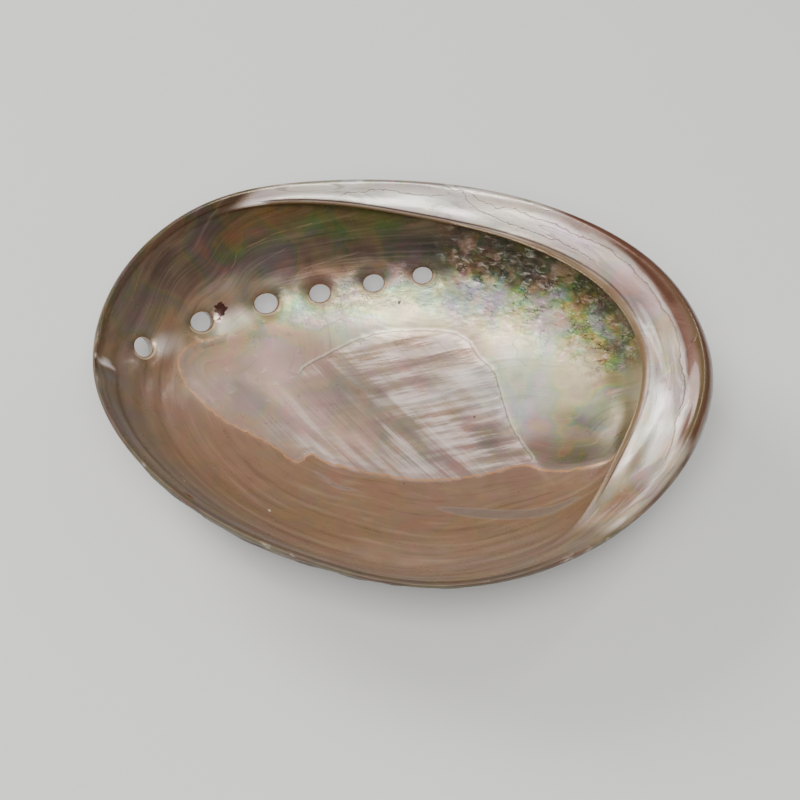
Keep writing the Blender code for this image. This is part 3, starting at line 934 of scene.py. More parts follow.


# %% [markdown]
# Soft patches of colour are placed one by one, region by region, as a painter dabs them:
# the middle (x, y), the half length, the half width, how the length is turned in degrees,
# the colour and the strength.

# %% Patches of colour
PATCHES = {
    "lip": (
        (-66, -8, 16, 6, -55, "dove", 0.95), (-66, -4, 9, 4, -60, "umber", 0.3),
        (-62, 2, 12, 6, -70, "dove", 0.45),
        (-60, -18, 18, 6, -50, "dove", 0.5), (-52, -8, 14, 7, -50, "rose tan", 0.7),
        (-44, -29, 20, 5, -32, "dove", 0.7), (-36, -16, 14, 6, -35, "rose tan", 0.6),
        (-20, -44, 26, 6, -12, "dove", 0.5), (-14, -31, 20, 6, -18, "tan", 0.6),
        (4, -40, 26, 6, 2, "blush", 0.22), (26, -38, 20, 6, 18, "dove", 0.45),
        (12, -20, 26, 4, 0, "rose tan", 0.6), (38, -16, 10, 4, 10, "rose tan", 0.6),
        (47, -26, 16, 5, 48, "tan", 0.6), (48, -34, 14, 4, 42, "olive", 0.4),
        (-58, 6, 9, 5, 70, "tan", 0.6), (34, -44, 14, 3, 22, "dove", 0.6),
        (-48, -28, 14, 3.5, -42, "slate", 0.6), (-34, -37, 14, 3, -30, "slate", 0.6),
        (-40, -20, 12, 3, -36, "tan", 0.4), (-62, -12, 8, 4, -62, "slate", 0.5),
    ),
    "silver": (
        (-42, 12, 12, 8, -50, "silver", 0.8), (-36, 4, 12, 5, -45, "dove", 0.45),
        (-26, 10, 9, 5, -40, "blush", 0.35), (-24, 2, 12, 4, -45, "blush", 0.55),
        (-10, -5, 14, 3, -38, "blush", 0.55), (-16, 9, 12, 6, -30, "dove", 0.5),
        (-2, 3, 16, 5, -40, "dove", 0.65), (8, -6, 14, 5, -40, "umber", 0.3),
        # The white patches on the right part of the scar are painted highlights.
        (20, -4, 9, 6, -50, "dove", 0.55), (16, 14, 9, 2.5, 12, "white", 0.8),
        (12, 9, 9, 2, 12, "white", 0.6), (21, 7, 4, 5, -60, "white", 0.8),
        (24, 4, 5, 1.5, -75, "white", 1.0), (17, 17, 7, 2, 10, "blush", 0.5),
        (-40, 9, 9, 5, -45, "rose tan", 0.35), (-36, 4, 8, 3, -40, "dove", 0.6),
        (-24, 1, 8, 3, -40, "silver", 0.5),
        (-1, -4, 10, 4, -40, "dove", 0.6), (0, -10, 12, 3, -10, "dove", 0.6),
        (-22, 20, 5, 4, 0, "rose tan", 0.55), (-27, 24, 5, 3, 0, "tan", 0.45),
        (-30, 22, 6, 4, 20, "blush", 0.4), (-12, 24, 8, 3, 10, "mint", 0.6),
        (2, 27, 12, 3, 0, "cream", 0.8), (0, 20, 10, 3, 0, "blush", 0.35),
    ),
    "pit": (
        # The olive patches on the right and the umber and bark ones at lower right are painted
        # shade.
        (29, 15, 7, 5, -50, "mint", 0.9), (36, 19, 8, 5, 30, "blush", 0.6),
        (38, 13, 9, 5, 20, "cream", 0.7), (30, 8, 4, 7, 0, "lilac", 0.5),
        (33, 24, 8, 4, 0, "blush", 0.75), (24, 26, 9, 3, 0, "cream", 0.9),
        (45, 12, 6, 10, 0, "mint", 0.35), (51, 6, 5, 16, 0, "olive", 0.75),
        (27, 17, 2.5, 3, 0, "white", 0.8), (29, 14, 4, 3, -40, "mint", 0.7),
        (31, 21, 5, 2, -20, "cream", 0.6), (38, 15, 6, 3.5, 20, "blush", 0.7),
        (36, 9, 6, 1.8, 30, "mint", 0.7), (40, 7, 5, 3, 0, "cream", 0.5),
        (28, 4, 1.2, 6, 16, "lilac", 0.7), (34, 19, 5, 4, 0, "mint", 0.6),
        (39, 11, 6, 4, 30, "cream", 0.8),
        (43, 20, 5, 3, 0, "cream", 0.6), (36, 14, 4, 2, 60, "white", 0.5),
        (40, 1, 9, 3.5, 12, "dove", 0.6), (45, -1, 7, 4, 8, "umber", 0.65),
        (48, -8, 8, 4, 20, "umber", 0.95), (38, -6, 9, 3, -8, "umber", 0.65),
        (50, -3, 4, 8, 10, "bark", 0.6), (45, -11, 8, 1.6, -6, "bark", 0.6),
        (44, -3, 6, 2, 0, "slate", 0.5), (36, -7, 5, 2, 0, "tan", 0.7),
        (44, -8.5, 8, 2, 0, "umber", 0.7), (52, 0, 2.5, 9, 14, "olive", 0.6),
        (33, -8, 5, 3, -30, "rose tan", 0.5), (42, -11, 9, 2, 0, "umber", 0.5),
        (46, 22, 6, 5, -45, "olive", 0.5), (52, 16, 4, 8, 0, "olive", 0.7),
    ),
    "row": (
        # The white patches beside the holes are painted highlights; the dusk ones are painted
        # shade.
        (-41, 23.5, 5, 2.5, 25, "white", 0.9), (-26, 29, 5, 2.5, 20, "mint", 0.9),
        (-14, 32, 4.5, 2.2, 12, "lilac", 0.7), (-1, 34, 4.5, 2.2, 8, "mint", 0.8),
        (-18, 26, 6, 3, 15, "cream", 0.8), (-8, 29, 7, 3, 10, "mint", 0.6),
        (-56, 15, 3, 2.2, 35, "white", 0.8), (6, 31, 9, 3, 0, "mint", 0.7),
        (16, 30, 6, 4, 0, "lilac", 0.85), (22, 31, 5, 3, -10, "lilac", 0.6),
        (29, 31, 5, 3, -20, "mint", 0.5), (38, 27, 4, 2, -35, "blush", 0.55),
        (19, 31, 5, 3, 10, "white", 0.7), (19, 31, 4, 2.4, 10, "lilac", 0.7),
        (24, 25, 6, 2.4, 0, "white", 0.6),
        (14, 27, 8, 2, 0, "white", 0.5), (-40, 25, 5, 2, 30, "white", 0.7),
        (43, 25, 3.5, 2.2, -50, "olive", 0.8), (38, 30, 2.5, 1.5, 0, "mint", 0.8),
        (33, 30, 2, 1.2, -30, "blush", 0.9), (42, 22, 3, 1.4, -60, "mint", 0.6),
        (27, 33, 2.4, 1.2, -20, "dusk", 0.7), (36, 32, 3.6, 1.5, -20, "dusk", 0.8),
        (45, 21, 2.0, 3.0, 30, "moss", 0.6),
    ),
    "wall": (
        # The dusk patches high on the wall, under the shelf, are partly painted shade.
        (-66, 12, 6, 8, 0, "dove", 0.4), (-53, 33, 14, 4, 45, "dusk", 0.5),
        (-58, 21, 9, 3.5, 40, "tan", 0.5), (-45, 28.5, 10, 1.8, 38, "ember", 0.5),
        (-43, 30, 8, 2.6, 36, "silver", 0.55), (-33, 33, 9, 1.4, 36, "blush", 0.35),
        (-58, 17, 6, 2, 45, "rose tan", 0.7), (-52, 23, 6, 2, 40, "rose tan", 0.6),
        (-44, 31, 4, 1.6, 36, "blush", 0.4), (-20, 36, 9, 1.8, 14, "ember", 0.3),
        (-6, 38.5, 5, 1.0, 10, "ember", 0.4), (-34, 37, 12, 2.2, 36, "slate", 0.55),
        (-6, 40.5, 9, 1.6, 6, "dusk", 0.6), (10, 40, 8, 1.6, 0, "dusk", 0.8),
        (22, 37.5, 8, 2.4, -14, "dusk", 0.9), (33, 34, 7, 2.4, -28, "dusk", 0.8),
        (26, 40, 8, 1.6, -20, "moss", 0.6), (-40, 45, 6, 2.5, 30, "dusk", 0.6),
        (-24, 41, 16, 3, 22, "dusk", 0.6), (-4, 41.5, 16, 2, 5, "dusk", 0.5),
        (-36, 43, 12, 2.2, 26, "ember", 0.22), (-34, 41, 14, 1.6, 24, "moss", 0.5),
        (-10, 46, 16, 2, 2, "moss", 0.75), (8, 45, 14, 2, -6, "moss", 0.6),
        (14, 41, 16, 3, -5, "dusk", 0.8), (30, 37, 10, 3, -22, "dusk", 0.6),
        (42, 32, 10, 3, -38, "moss", 0.55), (52, 22, 9, 3, -58, "olive", 0.7),
        (-54, 16, 6, 1.5, 42, "cream", 0.4),
    ),
    "shelf": (
        # The white patches along the shelf's top are partly its pale nacre, partly painted
        # highlight.
        (-32, 47.5, 5, 1.2, 20, "lilac", 0.5), (-24, 47, 9, 1.5, 8, "white", 0.8),
        (-6, 48.5, 16, 1.2, 3, "white", 0.6), (-4, 45.5, 16, 1.2, 0, "white", 0.5),
        (4, 46.5, 14, 1.6, -2, "mint", 0.5),
        (20, 44, 14, 2, -12, "cream", 0.6), (30, 41, 12, 2, -24, "blush", 0.8),
        (0, 46.5, 22, 2.4, -2, "white", 0.6), (26, 41, 12, 1.4, -22, "white", 0.5),
        (40, 35, 10, 1.5, -35, "lilac", 0.55), (38, 33, 10, 1.2, -36, "lilac", 0.4),
        (24, 47.5, 14, 1.0, -14, "dove", 0.6), (46, 37, 14, 1.6, -38, "umber", 0.6),
        (53, 16, 18, 3.0, -66, "mauve", 0.75), (58, 10, 14, 4.0, -82, "mauve", 0.6),
        (62, -4, 10, 2.4, 86, "mauve", 0.85), (63.5, -15, 4, 3, 70, "bark", 0.6),
        (54, -17, 10, 2.2, 62, "mauve", 0.8), (52, -27, 12, 3, 52, "tan", 0.75),
        (61, 9, 11, 0.9, -82, "silver", 0.7), (60, 2, 6, 0.8, -88, "cream", 0.4),
        # The umber patches near the right end are painted shade where the shelf bends down.
        (56.5, 8, 10, 1.5, -84, "umber", 0.65), (57, -1, 6, 1.2, 88, "umber", 0.5),
        (62.5, -4, 6, 1.6, 86, "umber", 0.65), (53, -19, 8, 1.6, 62, "umber", 0.5),
        (56.5, 10, 5, 1.6, -80, "umber", 0.6), (51, -27, 7, 1.6, 55, "umber", 0.4),
        (47, -32, 8, 1.6, 45, "umber", 0.4), (52, -18, 3, 1, 60, "dove", 0.5),
        # The white patches at the right end are painted highlights on the callus.
        (57.6, -5, 3.4, 1.6, 80, "white", 1.0), (56.8, -11, 5, 1.8, 66, "white", 0.95),
        (60, -14, 3.0, 1.4, 60, "white", 0.8), (56.5, -23, 5, 1.6, 55, "white", 0.5),
        (59, -18, 4, 1.5, 60, "blush", 0.6), (45, -32, 12, 4, 38, "tan", 0.9),
        (50, -29, 9, 3, 50, "tan", 0.7),
        (56, -18, 5, 1.5, 60, "white", 0.5), (40, -36, 12, 4, 35, "tan", 0.9),
    ),
}


def patch_share(middle_x, middle_y, half_length, half_width, turned):
    """A soft oval: 1 in the middle and a bell curve outwards along both axes."""
    angle = math.radians(turned)
    along = (x - middle_x) * math.cos(angle) + (y - middle_y) * math.sin(angle)
    aside = (y - middle_y) * math.cos(angle) - (x - middle_x) * math.sin(angle)
    wave = 0.22 * random_waves(spot, 7.0, seed=21)
    return np.exp(-((along / half_length) ** 2) - (aside / half_width) ** 2 + wave) * 0.9


# %% Lay the broad tones
cloud = random_waves(spot, 14.0, seed=22)
drift = random_waves(along_rim(turn, from_rim, 4.0), 9.0, seed=23)
paint = np.tile(linear(PALETTE["tan"]), (len(spot), 1))
paint = lay(paint, "dove", lip * 0.35 * (1.0 + 0.6 * drift) * bell(from_rim - 6.0, 9.0))
paint = lay(paint, "rose tan", lip * 0.4 * ramp(drift, 0.0, 1.5))
paint = lay(paint, "silver", silver)
paint = lay(paint, "silver", scar * 0.6)
pit = silver * (1.0 - scar) * ramp(x, 14.0, 26.0)
near_row = bowl * row_goes_on * bell(row + 3.5, 6.0) * ramp(x, -56.0, -40.0)
paint = lay(paint, "rose tan", lip * 0.45 * bell(silver_edge + 2.2, 2.6))
paint = lay(paint, "rose tan", silver * 0.55 * ramp(x, -20.0, -46.0))
paint = lay(paint, "cream", pit * 0.75)
# The pale cream band below the row of holes is partly the nacre's tint, partly painted highlight.
paint = lay(paint, "cream", near_row * (1.0 - wall) * 0.75 * ramp(x, -36.0, -8.0))
# The wall's umber and dusk are partly its own darker nacre, partly painted shade: it faces down,
# under the shelf.
paint = lay(paint, "umber", wall)
paint = lay(paint, "dove", wall * 0.40 * ramp(x, -40.0, -60.0))
paint = lay(paint, "dusk", wall * 0.35 * ramp(cloud, -0.3, 1.0))
paint = lay(paint, "pearl", shelf)
# Whiter towards the shelf's left end: partly its own nacre, partly painted highlight.
paint = lay(paint, "white", shelf * 0.7 * ramp(x, 44.0, 26.0))
paint = lay(paint, "silver", shelf * 0.55 * ramp(x, 44.0, 56.0))
paint = lay(paint, "umber", pit * 0.7 * ramp(y, 6.0, -10.0) * ramp(x, 26.0, 34.0))

REGION_OF = {"lip": lip, "silver": silver, "pit": pit, "wall": wall, "shelf": shelf,
             "row": bowl * row_goes_on * bell(row + 2.0, 6.0)}
for region, patches in PATCHES.items():
    for *shape_of_patch, colour, strength in patches:
        paint = lay(paint, colour, REGION_OF[region] * strength * patch_share(*shape_of_patch))
print(sum(len(patches) for patches in PATCHES.values()), "patches laid")


# %% [markdown]
# Most edges have colours of their own. The shelf's inner edge is brown, a band of chestnut
# runs round the roll at the spire end, the bare edge of the lip shows the outer shell, and
# each hole has a pale ring on the wall round it. Painted shadow darkens the upper side of
# each hole, the notch in the rim gets a painted highlight with painted shade below it, and
# painted shade darkens a band inside the bare rim beside the holes.

# %% Colours of the edges
brown_width = 1.6 + 1.2 * ramp(x, 20.0, 55.0)
above_nose = shelf_here * within * bell(from_nose - 1.6, brown_width) * ramp(x, 0.0, 36.0)
paint = lay(paint, "mauve", above_nose * 0.55)
inner_limit = 0.3 + 3.7 * bell(degrees - 5.0, 25.0)
beyond_callus = ramp(signed_distance(SHELF_CRACKS[0]), -0.2, 0.3) * ramp(x, 28.0, 44.0)
paint = lay(paint, "mauve", shelf * beyond_callus * ramp(degrees, -13.0, -8.0) * 0.55)
chestnut = roll * ramp(from_rim, inner_limit + 0.9, inner_limit - 0.4) * ramp(from_rim, -6.0, -4.5)
paint = lay(paint, "chestnut", chestnut * 0.92)
paint = lay(paint, "umber", chestnut * 0.5 * ramp(drift, 0.2, 1.2))
paint = lay(paint, "olive", chestnut * 0.55 * bell(from_rim - 0.4, 0.9) * bell(degrees + 4.0, 22.0))
paint = lay(paint, "olive", chestnut * 0.6 * bell(from_rim + 3.8, 1.4))
shelf *= 1.0 - chestnut
paint = lay(paint, "umber", bore * 0.8)
plain_rim = (1.0 - roll) * (1.0 - 0.7 * ramp(degrees, -60.0, -45.0) * ramp(degrees, 0.0, -14.0))
paint = lay(paint, "pearl", lip * plain_rim * bell(from_rim - 1.5, 0.9) * 0.30)
paint = lay(paint, "bark", plain_rim * bell(from_rim + 0.3, 0.8) * 0.85)
paint = lay(paint, "dove", wall * bell(gap - 1.2, 1.8) * 0.45)
# Painted shadow on the upper side of each hole.
paint = lay(paint, "bark", within * bell(gap, 1.1) * ramp(up_wall, -1.0, 1.0) * 0.35)
# A painted highlight on the notch in the left rim, with painted shade just below it.
streak = bell(np.hypot((x + 68.0) / 2.0, y - 4.6), 1.0)
paint = lay(paint, "white", bowl * ramp(streak, 0.3, 0.6))
paint = lay(paint, "slate", bowl * bell(np.hypot((x + 66.5) / 2.0, y - 1.4), 1.3) * 0.7)
# A darker band inside the bare rim beside the holes: the wall's tone, and painted shade over the
# rounded shoulder.
bare_rim = 1.0 - ramp(shelf_share(turn), 0.05, 0.3)
paint = lay(paint, "umber", bare_rim * ramp(turn, 5.5, 5.9) * (1.0 - ramp(turn, 7.7, 8.1))
            * bell(from_rim - 0.8, 1.6) * 0.8)
print("chestnut on", int((chestnut > 0.5).sum()), "points")


# %% [markdown]
# The outside is brown and olive, in bands that follow the growth, and paler on the old
# spire, where the outer layer has worn off.

# %% Colours of the outside
age = age_share(growth, from_rim)
bands = np.sin(2.0 * math.pi * age * 4.5 + 1.2 * cloud)
outer = np.tile(linear(PALETTE["bark"]), (len(spot), 1))
outer = lay(outer, "olive", 0.5 * ramp(bands, -0.2, 0.8))
outer = lay(outer, "chestnut", 0.55 * ramp(bands, 0.2, -0.9))
outer = lay(outer, "tan", 0.35 * ramp(cloud, 0.4, 1.4))
outer = lay(outer, "dove", 0.6 * bell(growth, 0.35))
paint += (outer - paint) * (outside * (1.0 - chestnut))[:, None]
print("mean colour of the outside", outer.mean(axis=0).round(3))


# %% Store the fields on the mesh
def store(name, kind, values):
    """Write one value, vector or colour to every point under a name."""
    attribute = shell_data.attributes.new(name, kind, "POINT")
    field = "color" if kind == "FLOAT_COLOR" else "vector"
    attribute.data.foreach_set(field, np.ascontiguousarray(values, dtype=np.float32).ravel())


def triple(*columns):
    """Three columns side by side, as one vector to a point."""
    return np.stack(columns, axis=-1)


def nearest_line(name, lines, zone):
    """Store the signed distance to whichever line is nearest, and where lines may show:
    only near them, so that the change of side between two lines draws nothing."""
    each = np.array([signed_distance(one) for one in lines])
    nearest = np.take_along_axis(each, np.abs(each).argmin(axis=0)[None], axis=0)[0]
    store(name, "FLOAT_VECTOR", triple(nearest, zone * ramp(np.abs(nearest), 1.9, 1.2), 0.0 * x))


# %% Fields for the streaks, the windows, the crumple and the shimmer
silk = ramp(x + 1.3 * y, -8.0, 18.0)   # 0 where the scar's streaks slant, 1 where they lie
TAPER_LENGTH = 9.0
window = np.full(len(spot), 9.0)
for line, half_width in WINDOWS:
    to_middle, _ = distance_to_line(x, y, line)
    to_end = np.minimum(np.hypot(x - line[0, 0], y - line[0, 1]),
                        np.hypot(x - line[-1, 0], y - line[-1, 1]))
    taper = np.clip(to_end / TAPER_LENGTH, 0.0, 1.0) ** 0.6
    window = np.minimum(window, to_middle - half_width * taper)

round_spire = np.arctan2(y - SPIRE[1], x - SPIRE[0])
crumple = bowl * bell(row + 1.0, 7.5) * ramp(x, 6.0, 16.0) * ramp(y, 8.0, 16.0)
along_row = bowl * row_goes_on * bell(row + 2.5, 4.0) * ramp(x, -36.0, -20.0)
crumple = np.maximum(crumple, 0.35 * along_row * ramp(x, 50.0, 42.0))
bright_pit = pit * ramp(x, 54.0, 44.0) * (0.35 + 0.65 * ramp(y, -6.0, 6.0))
shimmer = 0.50 * bright_pit + 0.75 * near_row * (1.0 - wall) + 0.4 * shelf + 0.10 * scar
shimmer = np.clip(shimmer + 0.18 * silver + 0.28 * wall + 0.14 * lip, 0.0, 1.0)
shimmer *= 1.0 - chestnut
across = np.where(wall > 0.5, signed_distance(FLOW), silver_edge)
tip = within * ramp(shelf_share(turn), 0.25, 0.4) * ramp(degrees, -38.0, -26.0)
tip *= ramp(x, -34.0, -31.0)
print("crumpled share", crumple.mean().round(3), "and shimmer", shimmer.mean().round(3))

# %% Store them
store("wash", "FLOAT_COLOR", np.concatenate([paint, np.ones((len(spot), 1))], axis=1))
store("rim_place", "FLOAT_VECTOR", along_rim(turn, from_rim, 1.0))
store("growth_place", "FLOAT_VECTOR",
      triple(40.0 * np.cos(round_spire), 40.0 * np.sin(round_spire), 40.0 * age))
store("edges", "FLOAT_VECTOR", triple(silver_edge, scar_edge, row))
store("details", "FLOAT_VECTOR", triple(gap, window, from_nose))
store("zones", "FLOAT_VECTOR", triple(shimmer, scar, crumple))
store("parts", "FLOAT_VECTOR", triple(shelf, outside, up_wall))
store("parts_too", "FLOAT_VECTOR", triple(lip, wall, chestnut))
nearest_line("striae", STRIAE, bowl)
nearest_line("folds", FOLDS, bowl)
nearest_line("cracks", SHELF_CRACKS, shelf * within)
nearest_line("branches", BRANCHES, shelf * within)
store("silk", "FLOAT_VECTOR", triple(silk, bowl * (1.0 - scar), 0.0 * x))
store("nose", "FLOAT_VECTOR", triple(tip, 0.45 + 1.35 * ramp(x, 10.0, 56.0), 0.0 * x))
store("flow", "FLOAT_VECTOR", triple(0.03 * x, 0.03 * y, across))
for name in ("Place", "Measure"):
    shell_data.uv_layers.remove(shell_data.uv_layers[name])
print("fields stored:", ", ".join(a.name for a in shell_data.attributes if a.domain == "POINT"))


# %% [markdown]
# ## Polished nacre
#
# The material has two sides to it. The surface is glossy like varnish, which is a clear
# coat. The layers below throw back a satin, slightly metallic light, and their tint
# wanders from pink to green. On top come fine things that are too small to model: the
# growth lines, the silky streaks of the muscle scar, the cracks along the shelf, the
# pores and the thin lines where one layer ends.

# %% A helper for nodes
nacre = bpy.data.materials.new("polished_nacre")
nacre.use_nodes = True
tree = nacre.node_tree
tree.nodes.clear()


def add(kind, inputs=(), out=0, **settings):
    """Add a shader node, set its options, fill or link its inputs, return one output."""
    made = tree.nodes.new("ShaderNode" + kind)
    for option, value in settings.items():
        setattr(made, option, value)
    for name, value in dict(inputs).items():
        if isinstance(value, bpy.types.NodeSocket):
            tree.links.new(value, made.inputs[name])
        else:
            made.inputs[name].default_value = value
    return made.outputs[out]


def field(name):
    """A stored vector, split into its three values."""
    vector = add("Attribute", attribute_name=name, out=1)
    made = tree.nodes.new("ShaderNodeSeparateXYZ")
    tree.links.new(vector, made.inputs[0])
    return tuple(made.outputs)


def fade(value, start, end, low=0.0, high=1.0):
    """Low before start, high after end, and a smooth S between them."""
    return add("MapRange", {0: value, 1: start, 2: end, 3: low, 4: high},
               interpolation_type="SMOOTHSTEP")


def product(*shares):
    """Shares multiplied together: it is 1 only where all of them are."""
    result = shares[0]
    for share in shares[1:]:
        result = add("Math", {0: result, 1: share}, operation="MULTIPLY")
    return result


def total(*heights):
    """Heights added up."""
    result = heights[0]
    for height in heights[1:]:
        result = add("Math", {0: result, 1: height}, operation="ADD")
    return result


def line(value, half_width, soft=0.12):
    """1 where a signed distance is nearly 0: a thin line with soft edges."""
    return fade(add("Math", {0: value}, operation="ABSOLUTE"), half_width + soft, half_width)


def glaze(below, above, share, how="MIX"):
    """One tint laid over another by a share, as a painter's glaze is."""
    if isinstance(above, str):
        above = (*linear(above), 1.0)
    return add("Mix", {0: share, 6: below, 7: above}, out=2, data_type="RGBA", blend_type=how)


def stretched(vector, scale, turned=0.0):
    """Coordinates turned about the vertical and scaled, each axis by its own number."""
    turned_vector = add("Mapping", {"Vector": vector, "Rotation": (0.0, 0.0, turned)},
                        vector_type="POINT")
    return add("Mapping", {"Vector": turned_vector, "Scale": scale}, vector_type="POINT")


print("eight helpers, and", len(tree.nodes), "nodes yet")


# %% [markdown]
# Object coordinates times 1000 are millimetres, so every pattern's scale is a real size.
# The fields that were stored on the points say where a pattern may show.

# %% Coordinates and fields
object_place = add("TexCoord", out=3)
mm_place = stretched(object_place, (1000.0, 1000.0, 1000.0))
rim_place = add("Attribute", attribute_name="rim_place", out=1)
growth_place = add("Attribute", attribute_name="growth_place", out=1)
wash = add("Attribute", attribute_name="wash", out=0)
silver_line, scar_line, row_line = field("edges")
hole_gap, window_edge, nose_place = field("details")
shimmer_zone, scar_zone, crumple_zone = field("zones")
shelf_zone, outside_zone, wall_side = field("parts")
lip_zone, wall_zone, roll_zone = field("parts_too")
inside_zone = total(1.0, product(outside_zone, -1.0))
print("fields read:", len(tree.nodes), "nodes")


# %% [markdown]
# The layers of aragonite are about as thick as a wave of light, so each thickness throws
# back its own tint. Thickness wanders over the surface, so a noise looks the tint up on
# a ramp of nacre's colours. A thin film in the shader would change with the angle of
# view, but a baked model can't carry it. The clouds are 5 to 10 mm wide.

# %% Shimmer: a tint that wanders through the colours of the nacre
wander = add("TexNoise", {"Vector": mm_place, "Scale": 0.16}, out=1)
bend = add("VectorMath", {0: mm_place, 1: wander}, operation="ADD")
HUES = ((0.30, "#b98f88"), (0.40, "#e8bfae"), (0.46, "#e2e08c"), (0.51, "#7fd09a"),
        (0.56, "#9dbcc4"), (0.61, "#b6a2d2"), (0.67, "#ee9fb6"), (0.75, "#f2cf86"))


def nacre_hue(value):
    """The tint at a value: from pink through green, blue and violet to gold."""
    hues = tree.nodes.new("ShaderNodeValToRGB")
    tree.links.new(value, hues.inputs[0])
    stops = hues.color_ramp.elements
    for stop, (place_on_ramp, code) in zip(stops, (HUES[0], HUES[-1])):
        stop.position, stop.color = place_on_ramp, (*linear(code), 1.0)
    for place_on_ramp, code in HUES[1:-1]:
        stops.new(place_on_ramp).color = (*linear(code), 1.0)
    return hues.outputs[0]


broad_clouds = add("TexNoise", {
    "Vector": mm_place, "Scale": 0.1, "Detail": 3.0, "Roughness": 0.55, "Distortion": 0.5})
small_clouds = add("TexNoise", {
    "Vector": mm_place, "Scale": 0.2, "Detail": 4.0, "Roughness": 0.55, "Distortion": 0.6})
broad_hue, small_hue = nacre_hue(broad_clouds), nacre_hue(small_clouds)
colour = glaze(wash, broad_hue, product(shimmer_zone, 0.6), "SOFT_LIGHT")
colour = glaze(colour, broad_hue, product(shimmer_zone, 0.12))
colour = glaze(colour, small_hue, product(crumple_zone, 0.6), "SOFT_LIGHT")
glitter = add("TexNoise", {"Vector": mm_place, "Scale": 0.16})
glitter = product(shimmer_zone, fade(glitter, 0.45, 0.65))
colour = glaze(colour, small_hue, product(glitter, 0.35), "SOFT_LIGHT")
print("shimmer:", len(tree.nodes), "nodes")

# %% [markdown]
# The big muscle held on by thousands of fibres. They leave silky streaks, which slant on
# the left of the scar and lie nearly level on the right. The light streaks are partly
# those fibre marks and partly painted sheen. Noise that is drawn out in one direction
# gives such streaks: here 20 to 45 mm long and 0.5 to 6 mm wide.

# %% Silky streaks of the muscle scar
SLANT, NEARLY_LEVEL = math.radians(46.0), math.radians(-12.0)
broad = add("TexNoise", {
    "Vector": stretched(mm_place, (0.022, 0.17, 0.1), SLANT), "Scale": 1.0})
fine = add("TexNoise", {
    "Vector": stretched(mm_place, (0.05, 2.2, 0.4), SLANT), "Scale": 1.0})
level = add("TexNoise", {
    "Vector": stretched(mm_place, (0.05, 0.5, 0.3), NEARLY_LEVEL), "Scale": 1.0,
    "Detail": 4.0, "Roughness": 0.6})
scar_zone = product(scar_zone, fade(add("SeparateXYZ", {0: mm_place}), -40.0, -18.0))
silk_share, plain_zone = field("silk")[0:2]
slanting = total(product(fade(broad, 0.35, 0.65, -1.0), 0.75),
                 product(fade(fine, 0.35, 0.65, -1.0), 0.22))
slanting = product(slanting, fade(silk_share, 0.0, 1.0, 1.0, 0.45))
lying = product(fade(level, 0.36, 0.64, -1.0), fade(silk_share, 0.0, 1.0, 0.12, 0.85))
streaks = total(slanting, lying)
fibre_and_sheen_streaks = product(add("Math", {0: streaks, 1: 0.0}, operation="MAXIMUM"), scar_zone)
darker = add("Math", {0: product(streaks, -1.0), 1: 0.0}, operation="MAXIMUM")
darker = product(darker, scar_zone)
# Light streaks: partly the fibre marks, partly painted sheen.
colour = glaze(colour, "#f6e2d6", product(fibre_and_sheen_streaks, 0.68))
colour = glaze(colour, "#5f4a3e", product(darker, 0.45))
print("streaks:", len(tree.nodes), "nodes")

# %% [markdown]
# Every lip was once a rim, so fine lines run parallel to the edges. The noise reads the
# distance from the edge on one axis and hardly changes along it. Real lines are finer
# than 0.2 mm. These are drawn about 1 mm apart, as fine as they can be and still show.

# %% Growth lines on the floor, the wall and the lip
flow_place = add("Attribute", attribute_name="flow", out=1)
growth_lines = add("TexNoise", {
    "Vector": stretched(flow_place, (1.0, 1.0, 0.9)), "Scale": 1.0, "Detail": 5.0,
    "Roughness": 0.7, "Distortion": 0.25})
lip_lines = add("TexNoise", {
    "Vector": stretched(rim_place, (0.03, 0.03, 0.7)), "Scale": 1.0, "Detail": 4.0,
    "Roughness": 0.55})
lines = add("Mix", {0: lip_zone, 2: growth_lines, 3: lip_lines}, data_type="FLOAT")
quiet = total(1.0, product(wall_zone, -0.75), product(lip_zone, -0.45))
pale_lines = product(plain_zone, quiet)
colour = glaze(colour, "#d2b298", product(pale_lines, fade(lines, 0.53, 0.72, 0.0, 0.28)))
colour = glaze(colour, "#4a3c30", product(plain_zone, fade(lines, 0.47, 0.28, 0.0, 0.32)))
print("growth lines:", len(tree.nodes), "nodes")

# %% [markdown]
# The shelf is a callus, laid on in sheets. Their torn edges show as long cracks with a
# bright side, and between them the nacre is veined lengthwise. The main cracks follow
# the landmark chains, shaken a little, and the veins are noise along the rim.

# %% Cracks and drawn-out veins of the shelf
veins = add("TexNoise", {
    "Vector": stretched(rim_place, (0.055, 0.055, 0.32)), "Scale": 1.0, "Detail": 4.0,
    "Roughness": 0.55, "Distortion": 0.8})
crack_course = add("TexNoise", {
    "Vector": stretched(rim_place, (0.02, 0.02, 0.15)), "Scale": 1.0, "Distortion": 0.4})
crack_break = add("TexNoise", {"Vector": stretched(rim_place, (0.05, 0.05, 0.3)), "Scale": 1.0})
shake = add("TexNoise", {"Vector": mm_place, "Scale": 0.35, "Detail": 4.0, "Roughness": 0.6})
shake = product(total(shake, -0.5), 1.5)   # up to 0.75 mm to each side
colour = glaze(colour, "#87736a", product(shelf_zone, fade(veins, 0.5, 0.3, 0.0, 0.6)))
colour = glaze(colour, "#fdf5ee", product(shelf_zone, fade(veins, 0.54, 0.68, 0.0, 0.35)))
crack_lines = product(shelf_zone, line(total(crack_course, -0.48), 0.004, 0.01))
crack_lines = product(crack_lines, fade(crack_break, 0.48, 0.6, 0.0, 0.6))
for name in ("cracks", "branches"):
    crack_line, crack_near = field(name)[0:2]
    crack = product(crack_near, line(total(crack_line, shake), 0.03, 0.13))
    crack_lines = add("Math", {0: crack_lines, 1: crack}, operation="MAXIMUM")
    beside = line(total(crack_line, shake, -0.55), 0.2, 0.5)
    colour = glaze(colour, "#f6e6da", product(crack_near, beside, 0.35))
